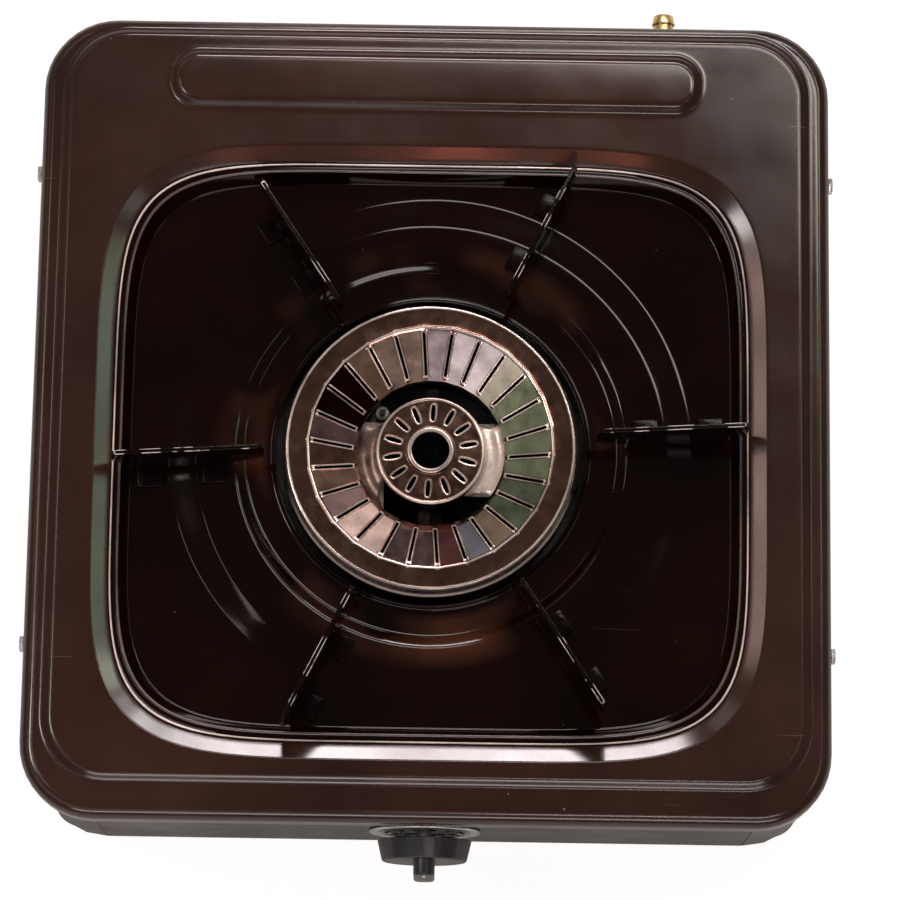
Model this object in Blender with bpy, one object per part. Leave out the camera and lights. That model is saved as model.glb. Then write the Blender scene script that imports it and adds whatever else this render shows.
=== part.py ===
# Single-burner table-top gas stove in metres, +Z up, knob towards -Y.
# A pressed top cover with a rounded square well sits on a bent sheet case. A loose drip tray with
# six upright fins lies in the well round a cast burner, whose ring head has inward flame slots.
# The stove frame stands under the burner's axis; one empty shifts it to the middle of the footprint.

import math

import bmesh
import bpy
from mathutils import Matrix, Vector

for old in list(bpy.data.objects):
    bpy.data.objects.remove(old, do_unlink=True)

# Fits
GAP = 0.0003
CUT_OVERRUN = 0.002
MERGE = 0.000001
SHEET = 0.0008
PLAY = 0.0005

# Case outline, from the burner's axis
CASE_HALF_WIDTH = 0.161
CASE_FRONT = 0.150
CASE_REAR = 0.180
CASE_HEIGHT = 0.079
CASE_CORNER = 0.030
EDGE_RADIUS = 0.006
SKIRT_DEPTH = 0.0085

# Raised plateau of the top cover and the raised panel behind the well
PLATEAU_HALF_WIDTH = 0.1483
PLATEAU_FRONT = 0.1317
PLATEAU_REAR = 0.1710
PLATEAU_CORNER = 0.022
PLATEAU_STEP = 0.004
PLATEAU_RISE = 0.003
PANEL_HALF_WIDTH = 0.109
PANEL_FRONT = 0.1401
PANEL_DEPTH = 0.026
PANEL_CORNER = 0.012
PANEL_STEP = 0.0045
PANEL_RISE = 0.003

# Well in the plateau
WELL_HALF_WIDTH = 0.1349
WELL_HALF_LENGTH = 0.1258
WELL_BEVEL = 0.0065
WELL_DEPTH = 0.0045
WELL_LEDGE = 0.003
WELL_SQUARENESS = 5.6
WELL_POINTS = 48
CORNER_CROWDING = 0.08

# Drip tray
TRAY_PLAY = 0.0006
TRAY_LIP = 0.004
TRAY_SLOPE = 0.003
TRAY_DEPTH = 0.008
RIDGE_OUTER = 0.105
RIDGE_CREST_OUTER = 0.094
RIDGE_CREST_INNER = 0.080
RIDGE_INNER = 0.072
RIDGE_RISE = 0.003
COLLAR_PLAY = 0.0036
COLLAR_FILLET = 0.0015
COLLAR_RISE = 0.0025

# Pan-support fins, spot-welded to the tray by their foot tabs
FIN_COUNT = 6
FIN_FIRST_ANGLE = math.radians(3.5)
FIN_SHEET = 0.0018
FIN_INNER = 0.0665
FIN_OUTER = 0.127
FIN_FOOT = 0.1185
FIN_ABOVE_RING = 0.016
FIN_TOP_CHAMFER = 0.002
FIN_TOE_HEIGHT = 0.009
FIN_OUTER_SLANT = 0.003
FIN_OVERHANG_RISE = 0.005
TAB_WIDTH = 0.008
TAB_LENGTH = 0.010
WELD_DENT = 0.0014
WELD_DENT_DEPTH = 0.0004

# Burner ring head
BURNER_ABOVE_PLATEAU = 0.002
RING_RADIUS = 0.058
RING_RIM = 0.009
RING_EDGE = 0.0006
RING_WALL = 0.003
CONE_DEPTH = 0.012
GAP_OUTER = 0.030
RING_TOE = 0.0016
SLOT_COUNT = 26
SLOT_WIDTH = 0.0013
SLOT_TOE = 0.002
SLOT_TOP_MARGIN = 0.0016
FACET_STEPS = 2

# Burner casting
BURNER_DEPTH = 0.027
TROUGH_LIP = 0.0015
TROUGH_RIM_DROP = 0.007
TROUGH_WALL = 0.004
CAST_WALL = 0.003
SPIGOT_WALL = 0.002
SPIGOT_DEPTH = 0.004
HUB_RADIUS = 0.0215
HUB_WALL = 0.0015
HUB_TOP_DROP = 0.0125
HUB_DEPTH = 0.043
AIR_BORE = 0.0078
AIR_TUBE_WALL = 0.0018
WEB_TOP_DROP = 0.0155
ARM_REAR = 0.013
ARM_FRONT = 0.017
ARM_LEFT = 0.0187
DUCT_WIDTH = 0.018
LUG_RADIUS = 0.0055
LUG_DROP = 0.008
LUG_INSET = 0.014

# Mixing tube, from the burner's axis towards the front
MIXER_DROP = 0.016
MIXER_RADIUS = 0.0125
MIXER_BORE = 0.0095
MIXER_THROAT = 0.0075
BELL_RADIUS = 0.0165
BELL_WALL = 0.0022
BELL_LENGTH = 0.011
BELL_TAPER = 0.012
JET_SPACE = 0.0095
THROAT_SHARE = 0.68
WINDOW_COUNT = 3
WINDOW_ARC = math.radians(46)
WINDOW_INNER = 0.0070
WINDOW_OUTER = 0.0130
SHUTTER_SHEET = 0.0010
SHUTTER_TAB = 0.006

# Centre cap
CAP_BEAD = 0.0014
CAP_BEAD_RISE = 0.0007
CAP_HEIGHT = 0.004
CAP_CROWN = 0.0008
CAP_PLATE = 0.0016
CAP_COLLAR_RISE = 0.0016
CAP_HOLE = 0.0075
CAP_COLLAR_WALL = 0.0019
CAP_SPIGOT_WALL = 0.0009
CAP_SLOT_COUNT = 14
CAP_SLOT_INNER = 0.0122
CAP_SLOT_OUTER = 0.0186
CAP_SLOT_WIDTH = 0.0012
CAP_FIRST_SLOT = math.radians(87)

# Electrode
ELECTRODE_ANGLE = math.radians(140)
ELECTRODE_ROD = 0.0010
ELECTRODE_TIP_DROP = 0.0065
ELECTRODE_TIP_LEAN = 0.0028
ELECTRODE_BEND = 0.004
INSULATOR_RADIUS = 0.0028
INSULATOR_TOP_DROP = 0.014
INSULATOR_LENGTH = 0.032
INSULATOR_COLLAR = 0.0038
INSULATOR_COLLAR_HEIGHT = 0.0025
ROD_TAIL = 0.004

# Feet, base plate and brackets
FOOT_HEIGHT = 0.013
FOOT_RADIUS = 0.012
FOOT_TOP_RADIUS = 0.0105
FOOT_EDGE = 0.001
FOOT_INSET = 0.018
FOOT_POCKET = 0.0055
FOOT_FLOOR = 0.008
BASE_STEP_INSET = 0.045
BASE_STEP_WIDTH = 0.002
BASE_STEP_RISE = 0.0015
AIR_SLOT_COUNT = 8
AIR_SLOT_INNER = 0.022
AIR_SLOT_OUTER = 0.042
AIR_SLOT_WIDTH = 0.005
FLANGE_WIDTH = 0.022
TOP_FLANGE_WIDTH = 0.009
BRACKET_SHEET = 0.0012
BRACKET_WIDTH = 0.022
BRACKET_FOOT = 0.016
BRACKET_TOP = 0.015

# Shell and front panel
PANEL_RETURN = 0.008
PANEL_FOOT = 0.012
PANEL_SCREW_PLACE = 0.060
VENT_WIDTH = 0.003
VENT_HEIGHT = 0.024
VENT_PITCH = 0.010
REAR_VENTS = 7
SIDE_VENTS = 5
VENT_SILL = 0.022

# Valve and knob, measured outward from the front panel's face
SPINDLE_RADIUS = 0.0038
SPINDLE_FLAT = 0.0026
COLLAR_RADIUS = 0.0056
COLLAR_THICKNESS = 0.0017
KNOB_TRAVEL = 0.0025
KNOB_RADIUS = 0.019
KNOB_FRONT_RADIUS = 0.0172
KNOB_DEPTH = 0.0085
KNOB_WALL = 0.0018
KNOB_BOSS = 0.0062
KNOB_EDGE = 0.001
GRIP_WIDTH = 0.0085
GRIP_HEIGHT = 0.0068
GRIP_EDGE = 0.0015
SPINDLE_END_WALL = 0.0025
BEZEL_RADIUS = 0.0225
BEZEL_INNER = 0.0165
BEZEL_THICKNESS = 0.0012
PANEL_HOLE = 0.0050
VALVE_HALF = 0.015
VALVE_DEPTH = 0.024
VALVE_CAP = 0.002
VALVE_EDGE = 0.0015
PLUG_BORE = 0.0072
PLUG_LENGTH = 0.008
PLUG_TAPER = 0.0012
PLUG_FLOOR = 0.002
CAVITY_DEPTH = 0.0175
SPRING_RADIUS = 0.0049
SPRING_WIRE = 0.00035
SPRING_TURNS = 3.5
SPRING_POINTS = 8
SCREW_PLACE = 0.0115
INLET_BOSS = 0.0062
INLET_BOSS_LENGTH = 0.007

# Injector
JET_STEM = 0.0042
JET_STEM_LENGTH = 0.004
JET_HEX = 0.0065
JET_HEX_LENGTH = 0.006
JET_NOZZLE = 0.0034
JET_TIP = 0.0022
JET_BORE = 0.0008
JET_ENTRY = 0.003

# Piezo igniter and its lead
PIEZO_WIDTH = 0.013
PIEZO_HEIGHT = 0.013
PIEZO_LENGTH = 0.030
PIEZO_STUD = 0.0025
PIEZO_STUD_LENGTH = 0.004
LEAD_RADIUS = 0.0015
LEAD_POINTS = 32
CLIP_WALL = 0.0010
CLIP_WIDTH = 0.006
CLIP_TAB = 0.007

# Gas pipe and hose nipple
PIPE_RADIUS = 0.004
PIPE_PLACE = 0.095
PIPE_BEND = 0.016
PIPE_BEND_POINTS = 7
PIPE_SEAT = 0.005
NIPPLE_FLANGE = 0.009
NIPPLE_FLANGE_THICKNESS = 0.002
NIPPLE_STEM = 0.006
NIPPLE_STEM_LENGTH = 0.014
NIPPLE_BORE = 0.003
BARB_RADIUS = 0.0048
BARB_WAIST = 0.0040
BARB_PITCH = 0.004
BARB_COUNT = 3
NIPPLE_SHANK = 0.003
NUT_RADIUS = 0.0095
NUT_LENGTH = 0.006
PIPE_NUT_RADIUS = 0.008
PIPE_NUT_LENGTH = 0.009

# Screws
SCREW_RADIUS = 0.0018
SCREW_HEAD = 0.0034
SCREW_HEAD_HEIGHT = 0.0016
SCREW_LENGTH = 0.006
FOOT_SCREW_HEAD = 0.0042
COVER_SCREW_FRONT = 0.080
COVER_SCREW_REAR = 0.115

# Numbers of faces round turned pieces
SCREW_STEPS = 6
SMALL_STEPS = 10
FOOT_STEPS = 12
ROUND_STEPS = 16
KNOB_STEPS = 24
SMALL_HOLE = 0.003
BURNER_STEPS = SLOT_COUNT * FACET_STEPS
CASTING_STEPS = 32
CORNER_STEPS = 5
EDGE_STEPS = 3

# Levels above the table
BASE_BOTTOM = FOOT_HEIGHT + GAP
BASE_TOP = BASE_BOTTOM + SHEET
BASE_FLOOR = BASE_TOP + BASE_STEP_RISE
SHELL_BOTTOM = BASE_TOP + GAP
FLANGE_TOP = FOOT_HEIGHT + CASE_HEIGHT
SKIRT_BOTTOM = FLANGE_TOP - EDGE_RADIUS - SKIRT_DEPTH
SHELL_TOP = FLANGE_TOP - SHEET - GAP
PLATEAU_TOP = FLANGE_TOP + PLATEAU_RISE
LEDGE_TOP = PLATEAU_TOP - WELL_DEPTH
TRAY_RIM_TOP = LEDGE_TOP + GAP + SHEET
TRAY_FLOOR = TRAY_RIM_TOP - TRAY_DEPTH
RIDGE_TOP = TRAY_FLOOR + RIDGE_RISE
RING_TOP = PLATEAU_TOP + BURNER_ABOVE_PLATEAU
FIN_TOP = RING_TOP + FIN_ABOVE_RING
TROUGH_BOTTOM = RING_TOP - BURNER_DEPTH
TROUGH_RIM = RING_TOP - TROUGH_RIM_DROP
TROUGH_FLOOR = TROUGH_BOTTOM + CAST_WALL
CONE_FOOT = RING_TOP - CONE_DEPTH
HUB_TOP = RING_TOP - HUB_TOP_DROP
HUB_BOTTOM = HUB_TOP - HUB_DEPTH
HUB_FLOOR = HUB_BOTTOM + CAST_WALL
WEB_TOP = RING_TOP - WEB_TOP_DROP
LUG_BOTTOM = TROUGH_BOTTOM - LUG_DROP
LUG_PLACE = RING_RADIUS - LUG_INSET
ELECTRODE_PLACE = (HUB_RADIUS + GAP_OUTER) / 2
MIXER_LEVEL = TROUGH_BOTTOM - MIXER_DROP
BRACKET_SEAT = LUG_BOTTOM - GAP

# Places across and along
CONE_RADIUS = RING_RADIUS - RING_RIM
TROUGH_RADIUS = RING_RADIUS + TROUGH_LIP
TRAY_OPENING = TROUGH_RADIUS + COLLAR_PLAY
INNER_WALL = GAP_OUTER + CAST_WALL
SHELL_INSET = SHEET + GAP
SHELL_HALF_WIDTH = CASE_HALF_WIDTH - SHELL_INSET
SHELL_FRONT = CASE_FRONT - SHELL_INSET
SHELL_REAR = CASE_REAR - SHELL_INSET
SHELL_CORNER = CASE_CORNER - SHELL_INSET
PANEL_HALF = CASE_HALF_WIDTH - CASE_CORNER - GAP
KNOB_BACK = GAP + BEZEL_THICKNESS + KNOB_TRAVEL + GAP
KNOB_REACH = SHELL_FRONT + KNOB_BACK + KNOB_DEPTH + GRIP_HEIGHT
CAP_BACK = -(SHEET + GAP + VALVE_CAP)
VALVE_FRONT = CAP_BACK - GAP
VALVE_BACK = VALVE_FRONT - VALVE_DEPTH
CAVITY_END = VALVE_FRONT - CAVITY_DEPTH
MIXER_REACH = SHELL_FRONT + VALVE_BACK - JET_SPACE
PLUG_BACK = CAVITY_END + GAP
PLUG_FRONT = PLUG_BACK + PLUG_LENGTH
COLLAR_FRONT = CAP_BACK - GAP
COLLAR_BACK = COLLAR_FRONT - COLLAR_THICKNESS
SOCKET_END = PLUG_BACK + PLUG_FLOOR
SPINDLE_BACK = SOCKET_END + KNOB_TRAVEL + PLAY
SPINDLE_FRONT = KNOB_BACK + KNOB_DEPTH - SPINDLE_END_WALL
NIPPLE_REACH = (SHELL_REAR + GAP + NIPPLE_FLANGE_THICKNESS + NIPPLE_SHANK
                + BARB_COUNT * BARB_PITCH)
MIDDLE_SHIFT = (KNOB_REACH - NIPPLE_REACH) / 2
SIDE_SCREW_LEVEL = (SKIRT_BOTTOM + FLANGE_TOP - EDGE_RADIUS) / 2


def finish(name, colour, roughness, metallic):
    material = bpy.data.materials.new(name)
    material.use_nodes = True
    shader = material.node_tree.nodes["Principled BSDF"]
    shader.inputs["Base Color"].default_value = (*colour, 1)
    shader.inputs["Roughness"].default_value = roughness
    shader.inputs["Metallic"].default_value = metallic
    return material


ENAMEL = finish("brown_black_enamel", (0.040, 0.024, 0.018), 0.22, 0.0)
TRAY_ENAMEL = finish("black_enamel", (0.012, 0.006, 0.005), 0.08, 0.0)
FIN_ENAMEL = finish("support_enamel", (0.010, 0.008, 0.008), 0.20, 0.0)
POLISHED = finish("polished_burner_metal", (0.62, 0.55, 0.50), 0.12, 1.0)
CAST = finish("cast_burner_metal", (0.33, 0.30, 0.28), 0.38, 1.0)
CASE_PAINT = finish("case_paint", (0.030, 0.024, 0.022), 0.40, 0.0)
ZINC = finish("zinc_sheet", (0.55, 0.56, 0.57), 0.40, 1.0)
BRASS = finish("brass", (0.72, 0.52, 0.24), 0.28, 1.0)
STEEL = finish("screw_steel", (0.60, 0.60, 0.60), 0.30, 1.0)
RUBBER = finish("foot_rubber", (0.020, 0.020, 0.021), 0.80, 0.0)
PLASTIC = finish("knob_plastic", (0.018, 0.018, 0.019), 0.35, 0.0)
CERAMIC = finish("ceramic", (0.86, 0.84, 0.78), 0.45, 0.0)
SILICONE = finish("lead_silicone", (0.55, 0.08, 0.05), 0.55, 0.0)


def empty(name, place, parent=None, turn=(0, 0, 0)):
    holder = bpy.data.objects.new(name, None)
    bpy.context.scene.collection.objects.link(holder)
    holder.parent = parent
    holder.location = place
    holder.rotation_euler = turn
    return holder


def add_object(name, mesh, parent, place, turn=(0, 0, 0)):
    piece = bpy.data.objects.new(name, mesh)
    bpy.context.scene.collection.objects.link(piece)
    piece.parent = parent
    piece.location = place
    piece.rotation_euler = turn
    return piece


def as_mesh(name, bm, material):
    mesh = bpy.data.meshes.new(name)
    bm.to_mesh(mesh)
    bm.free()
    if material:
        mesh.materials.append(material)
    mesh.shade_smooth()
    mesh.set_sharp_from_angle(angle=math.radians(30))
    return mesh


def piece_from(name, bm, material, parent, place=(0, 0, 0), turn=(0, 0, 0)):
    return add_object(name, as_mesh(name, bm, material), parent, place, turn)


def hide_tool(tool):
    tool.hide_render = True
    tool.hide_viewport = False
    tool.display_type = "WIRE"
    return tool


def combine(piece, bm, operation):
    tool = piece_from(piece.name + "_" + operation.lower(), bm, None, piece)
    hide_tool(tool)
    change = piece.modifiers.new(operation.lower(), "BOOLEAN")
    change.operation = operation
    change.solver = "EXACT"
    change.object = tool
    return tool


def bake(piece):
    # Applies a piece's modifiers, so that several objects can share the finished mesh.
    bpy.context.view_layer.update()
    graph = bpy.context.evaluated_depsgraph_get()
    done = bpy.data.meshes.new_from_object(piece.evaluated_get(graph))
    for change in list(piece.modifiers):
        bpy.data.objects.remove(change.object, do_unlink=True)
    piece.modifiers.clear()
    done.name = piece.name
    return done


def face_out(bm):
    bmesh.ops.remove_doubles(bm, verts=bm.verts, dist=MERGE)
    bmesh.ops.recalc_face_normals(bm, faces=bm.faces)
    return bm


def turned(profile, steps, ring=True):
    # Spins a profile of (radius, height) points about the vertical axis. A ring profile closes
    # on itself; the other kind starts and ends on the axis.
    bm = bmesh.new()
    points = [bm.verts.new((radius, 0, height)) for radius, height in profile]
    lines = [bm.edges.new(pair) for pair in zip(points, points[1:])]
    if ring:
        lines.append(bm.edges.new((points[-1], points[0])))
    bmesh.ops.spin(bm, geom=points + lines, cent=(0, 0, 0), axis=(0, 0, 1),
                   angle=2 * math.pi, steps=steps, use_merge=True)
    return face_out(bm)


def add_turned(bm, profile, steps, matrix):
    # Adds one more turned solid, which starts and ends on its axis, to a group.
    other = turned(profile, steps, ring=False)
    other.transform(matrix)
    spare = bpy.data.meshes.new("spare")
    other.to_mesh(spare)
    other.free()
    bm.from_mesh(spare)
    bpy.data.meshes.remove(spare)
    return bm


def add_hole(bm, radius, low, high, place=(0, 0), matrix=None):
    # Adds a drill that runs past both faces of the wall between low and high.
    low = low - CUT_OVERRUN
    high = high + CUT_OVERRUN
    steps = SCREW_STEPS if radius < SMALL_HOLE else SMALL_STEPS
    shape = Matrix.Translation((*place, 0))
    if matrix is not None:
        shape = matrix @ shape
    return add_turned(bm, [(0, low), (radius, low), (radius, high), (0, high)], steps, shape)


def extruded(outline, direction):
    # Extrudes a closed outline of points by one vector.
    bm = bmesh.new()
    face = bm.faces.new([bm.verts.new(point) for point in outline])
    made = bmesh.ops.extrude_face_region(bm, geom=[face])["geom"]
    moved = [item for item in made if isinstance(item, bmesh.types.BMVert)]
    bmesh.ops.translate(bm, verts=moved, vec=direction)
    return face_out(bm)


def add_block(bm, low, high, matrix=None):
    size = [top - bottom for bottom, top in zip(low, high)]
    middle = [(top + bottom) / 2 for bottom, top in zip(low, high)]
    shape = Matrix.Translation(middle) @ Matrix.Diagonal((*size, 1))
    if matrix is not None:
        shape = matrix @ shape
    bmesh.ops.create_cube(bm, size=1, matrix=shape)
    return bm


def along_y(level, across=0.0):
    # Lays a turned solid down, so that its heights run towards the rear.
    return Matrix.Translation((across, 0, level)) @ Matrix.Rotation(math.radians(-90), 4, "X")


def around(angle):
    return Matrix.Rotation(angle, 4, "Z")


def arc(centre, radius, first, last, steps):
    return [(centre[0] + radius * math.cos(first + (last - first) * step / steps),
             centre[1] + radius * math.sin(first + (last - first) * step / steps))
            for step in range(steps + 1)]


def rounded_box(half_width, front, rear, corner):
    # Anticlockwise outline with four round corners, from the rear right one.
    quarter = math.pi / 2
    centres = [(half_width - corner, rear - corner), (corner - half_width, rear - corner),
               (corner - half_width, corner - front), (half_width - corner, corner - front)]
    points = []
    for turn, centre in enumerate(centres):
        points += arc(centre, corner, turn * quarter, (turn + 1) * quarter, CORNER_STEPS)
    return points


def well_outline(inset):
    # Superellipse of the well, drawn in by an inset, with its points crowded into the corners.
    points = []
    for step in range(WELL_POINTS):
        even = 2 * math.pi * (step + 0.5) / WELL_POINTS
        angle = even + CORNER_CROWDING * math.sin(4 * even)
        across = abs(math.cos(angle)) / (WELL_HALF_WIDTH - inset)
        along = abs(math.sin(angle)) / (WELL_HALF_LENGTH - inset)
        reach = (across ** WELL_SQUARENESS + along ** WELL_SQUARENESS) ** (-1 / WELL_SQUARENESS)
        points.append((reach * math.cos(angle), reach * math.sin(angle)))
    return points


def circle_outline(radius, like):
    # Circle with one point for each point of another outline, in the same directions.
    return [tuple(radius * part for part in Vector(point).normalized()) for point in like]


def first_ring(bm, outline, level):
    ring = [bm.verts.new((x, y, level)) for x, y in outline]
    for place in range(len(ring)):
        bm.edges.new((ring[place - 1], ring[place]))
    return ring


def ring_edges(bm, ring):
    return [bm.edges.get((ring[place - 1], ring[place])) for place in range(len(ring))]


def next_row(bm, row, edges, outline, level):
    # Extrudes a row of vertices and moves the copy onto the next outline.
    made = bmesh.ops.extrude_edge_only(bm, edges=edges)["geom"]
    fresh = {item for item in made if isinstance(item, bmesh.types.BMVert)}
    copies = []
    for corner, (x, y) in zip(row, outline):
        copy = next(edge.other_vert(corner) for edge in corner.link_edges
                    if edge.other_vert(corner) in fresh)
        copy.co = (x, y, level)
        copies.append(copy)
    return copies


def next_ring(bm, ring, outline, level):
    return next_row(bm, ring, ring_edges(bm, ring), outline, level)


def thicken(piece, thickness):
    wall = piece.modifiers.new("sheet", "SOLIDIFY")
    wall.thickness = thickness
    wall.offset = -1
    wall.use_even_offset = True
    return wall


def round_edges(piece, width, segments=2):
    edge = piece.modifiers.new("edge", "BEVEL")
    edge.width = width
    edge.segments = segments
    edge.limit_method = "ANGLE"
    return edge


def upward(bm, face_test):
    # Turns a sheet so that the face picked by the test looks up.
    bmesh.ops.recalc_face_normals(bm, faces=bm.faces)
    picked = max(bm.faces, key=face_test)
    if picked.normal.z < 0:
        bmesh.ops.reverse_faces(bm, faces=bm.faces)
    return bm


def hex_outline(radius):
    return arc((0, 0), radius, 0, 5 * math.pi / 3, 5)


def make_screw_mesh(name, length, head):
    # Screw that stands head down, with the seat of its head at the origin.
    bm = turned([(0, -SCREW_HEAD_HEIGHT), (SCREW_RADIUS, -SCREW_HEAD_HEIGHT),
                 (head, -SCREW_HEAD_HEIGHT / 2), (head, 0), (SCREW_RADIUS, 0), (SCREW_RADIUS, length),
                 (0, length)], SCREW_STEPS, ring=False)
    return as_mesh(name, bm, STEEL)


screw_mesh = make_screw_mesh("screw", SCREW_LENGTH, SCREW_HEAD)
stove = empty("stove_frame", (0, MIDDLE_SHIFT, 0))
burner_axis = empty("burner_axis", (0, 0, 0), stove)
knob_axis = empty("knob_axis", (0, -SHELL_FRONT, MIXER_LEVEL), stove, (math.pi / 2, 0, 0))
shutter_axis = empty("shutter_axis", (0, -MIXER_REACH, MIXER_LEVEL), stove, (math.pi / 2, 0, 0))


# Top cover: the most skilful form, one sheet pressed into skirt, flange, plateau, panel and well

def plateau_outline(spread):
    return rounded_box(PLATEAU_HALF_WIDTH + spread, PLATEAU_FRONT + spread,
                       PLATEAU_REAR + spread, PLATEAU_CORNER + spread)


def panel_outline(inset):
    middle = PANEL_FRONT + PANEL_DEPTH / 2
    half = PANEL_DEPTH / 2 - inset
    return [(x, y + middle) for x, y in
            rounded_box(PANEL_HALF_WIDTH - inset, half, half, PANEL_CORNER - inset)]


def case_outline(inset):
    return rounded_box(CASE_HALF_WIDTH - inset, CASE_FRONT - inset, CASE_REAR - inset,
                       CASE_CORNER - inset)


def rounded_edge(radius, top):
    # Stations (inset, level) that carry an upright wall over into a flat top.
    leans = [math.pi / 2 * step / EDGE_STEPS for step in range(EDGE_STEPS + 1)]
    return [(radius * (1 - math.cos(lean)), top - radius * (1 - math.sin(lean))) for lean in leans]


def cover_screw_places():
    return [(side, place) for side in (-1, 1) for place in (-COVER_SCREW_FRONT, COVER_SCREW_REAR)]


def across_x(side, along, level):
    # Lays a turned solid down, so that its heights run outward on one side.
    return (Matrix.Translation((0, along, level))
            @ Matrix.Rotation(side * math.pi / 2, 4, "Y"))


def make_top_cover():
    bm = bmesh.new()
    ring = first_ring(bm, case_outline(0), SKIRT_BOTTOM)
    for inset, level in rounded_edge(EDGE_RADIUS, FLANGE_TOP):
        ring = next_ring(bm, ring, case_outline(inset), level)
    ring = next_ring(bm, ring, plateau_outline(PLATEAU_STEP), FLANGE_TOP)
    plateau_edge = next_ring(bm, ring, plateau_outline(0), PLATEAU_TOP)
    panel_edge = first_ring(bm, panel_outline(0), PLATEAU_TOP)
    panel_top = next_ring(bm, panel_edge, panel_outline(PANEL_STEP), PLATEAU_TOP + PANEL_RISE)
    bm.faces.new(panel_top)
    well_edge = first_ring(bm, well_outline(0), PLATEAU_TOP)
    ring = next_ring(bm, well_edge, well_outline(WELL_BEVEL), LEDGE_TOP)
    next_ring(bm, ring, well_outline(WELL_BEVEL + WELL_LEDGE), LEDGE_TOP)
    borders = ring_edges(bm, plateau_edge) + ring_edges(bm, panel_edge) + ring_edges(bm, well_edge)
    bmesh.ops.triangle_fill(bm, use_beauty=True, edges=borders)
    upward(bm, lambda face: face.calc_center_median().z)
    cover = piece_from("top_cover", bm, ENAMEL, stove)
    thicken(cover, SHEET)
    holes = bmesh.new()
    for side, place in cover_screw_places():
        add_hole(holes, SCREW_RADIUS + GAP, CASE_HALF_WIDTH - SHEET, CASE_HALF_WIDTH, (0, 0),
                 across_x(side, place, SIDE_SCREW_LEVEL))
    combine(cover, holes, "DIFFERENCE")


def make_cover_screws():
    turns = {-1: math.pi / 2, 1: -math.pi / 2}
    for number, (side, place) in enumerate(cover_screw_places()):
        add_object("cover_screw_%d" % (number + 1), screw_mesh, stove,
                   (side * (CASE_HALF_WIDTH + GAP), place, SIDE_SCREW_LEVEL), (0, turns[side], 0))


# Case: shell bent from one sheet, front panel, base plate and feet

def shell_path(inset):
    # Open path from the front left return, round the back, to the front right return.
    corner = SHELL_CORNER - inset
    side = SHELL_HALF_WIDTH - inset
    front = SHELL_FRONT - inset
    rear = SHELL_REAR - inset
    centre_x = SHELL_HALF_WIDTH - SHELL_CORNER
    quarter = math.pi / 2
    points = arc((centre_x, SHELL_CORNER - SHELL_FRONT), corner, -quarter, 0, CORNER_STEPS)
    points += arc((centre_x, SHELL_REAR - SHELL_CORNER), corner, 0, quarter, CORNER_STEPS)
    mirrored = [(-x, y) for x, y in reversed(points)]
    return points + mirrored


def make_body_shell():
    bm = bmesh.new()
    row = [bm.verts.new((x, y, SHELL_BOTTOM)) for x, y in shell_path(FLANGE_WIDTH)]
    for pair in zip(row, row[1:]):
        bm.edges.new(pair)
    stations = [(0, SHELL_BOTTOM)] + rounded_edge(EDGE_RADIUS - SHELL_INSET, SHELL_TOP)
    stations.append((TOP_FLANGE_WIDTH, SHELL_TOP))
    for inset, level in stations:
        edges = [bm.edges.get(pair) for pair in zip(row, row[1:])]
        row = next_row(bm, row, edges, shell_path(inset), level)
    upward(bm, lambda face: face.calc_center_median().z)
    shell = piece_from("body_shell", bm, CASE_PAINT, stove)
    thicken(shell, SHEET)
    holes = bmesh.new()
    for vent in range(REAR_VENTS):
        across = (vent - (REAR_VENTS - 1) / 2) * VENT_PITCH
        add_block(holes, (across - VENT_WIDTH / 2, SHELL_REAR - SHEET - CUT_OVERRUN,
                          SHELL_BOTTOM + VENT_SILL),
                  (across + VENT_WIDTH / 2, SHELL_REAR + CUT_OVERRUN,
                   SHELL_BOTTOM + VENT_SILL + VENT_HEIGHT))
    for side in (-1, 1):
        wall = sorted((side * (SHELL_HALF_WIDTH - SHEET - CUT_OVERRUN),
                       side * (SHELL_HALF_WIDTH + CUT_OVERRUN)))
        for vent in range(SIDE_VENTS):
            along = (vent - (SIDE_VENTS - 1) / 2) * VENT_PITCH
            add_block(holes, (wall[0], along - VENT_WIDTH / 2, SHELL_BOTTOM + VENT_SILL),
                      (wall[1], along + VENT_WIDTH / 2, SHELL_BOTTOM + VENT_SILL + VENT_HEIGHT))
    add_hole(holes, NIPPLE_STEM + GAP, SHELL_REAR - SHEET, SHELL_REAR, (0, 0),
             along_y(MIXER_LEVEL, PIPE_PLACE))
    for side, place in cover_screw_places():
        add_hole(holes, SCREW_RADIUS + GAP, SHELL_HALF_WIDTH - SHEET, SHELL_HALF_WIDTH, (0, 0),
                 across_x(side, place, SIDE_SCREW_LEVEL))
    for x, y in foot_places():
        add_hole(holes, SCREW_RADIUS + GAP, SHELL_BOTTOM, SHELL_BOTTOM + SHEET, (x, y))
    combine(shell, holes, "DIFFERENCE")


def panel_screw_places():
    along = PANEL_FOOT / 2 + SHEET / 2 - SHELL_FRONT
    return [(-PANEL_SCREW_PLACE, along), (PANEL_SCREW_PLACE, along)]


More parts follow.
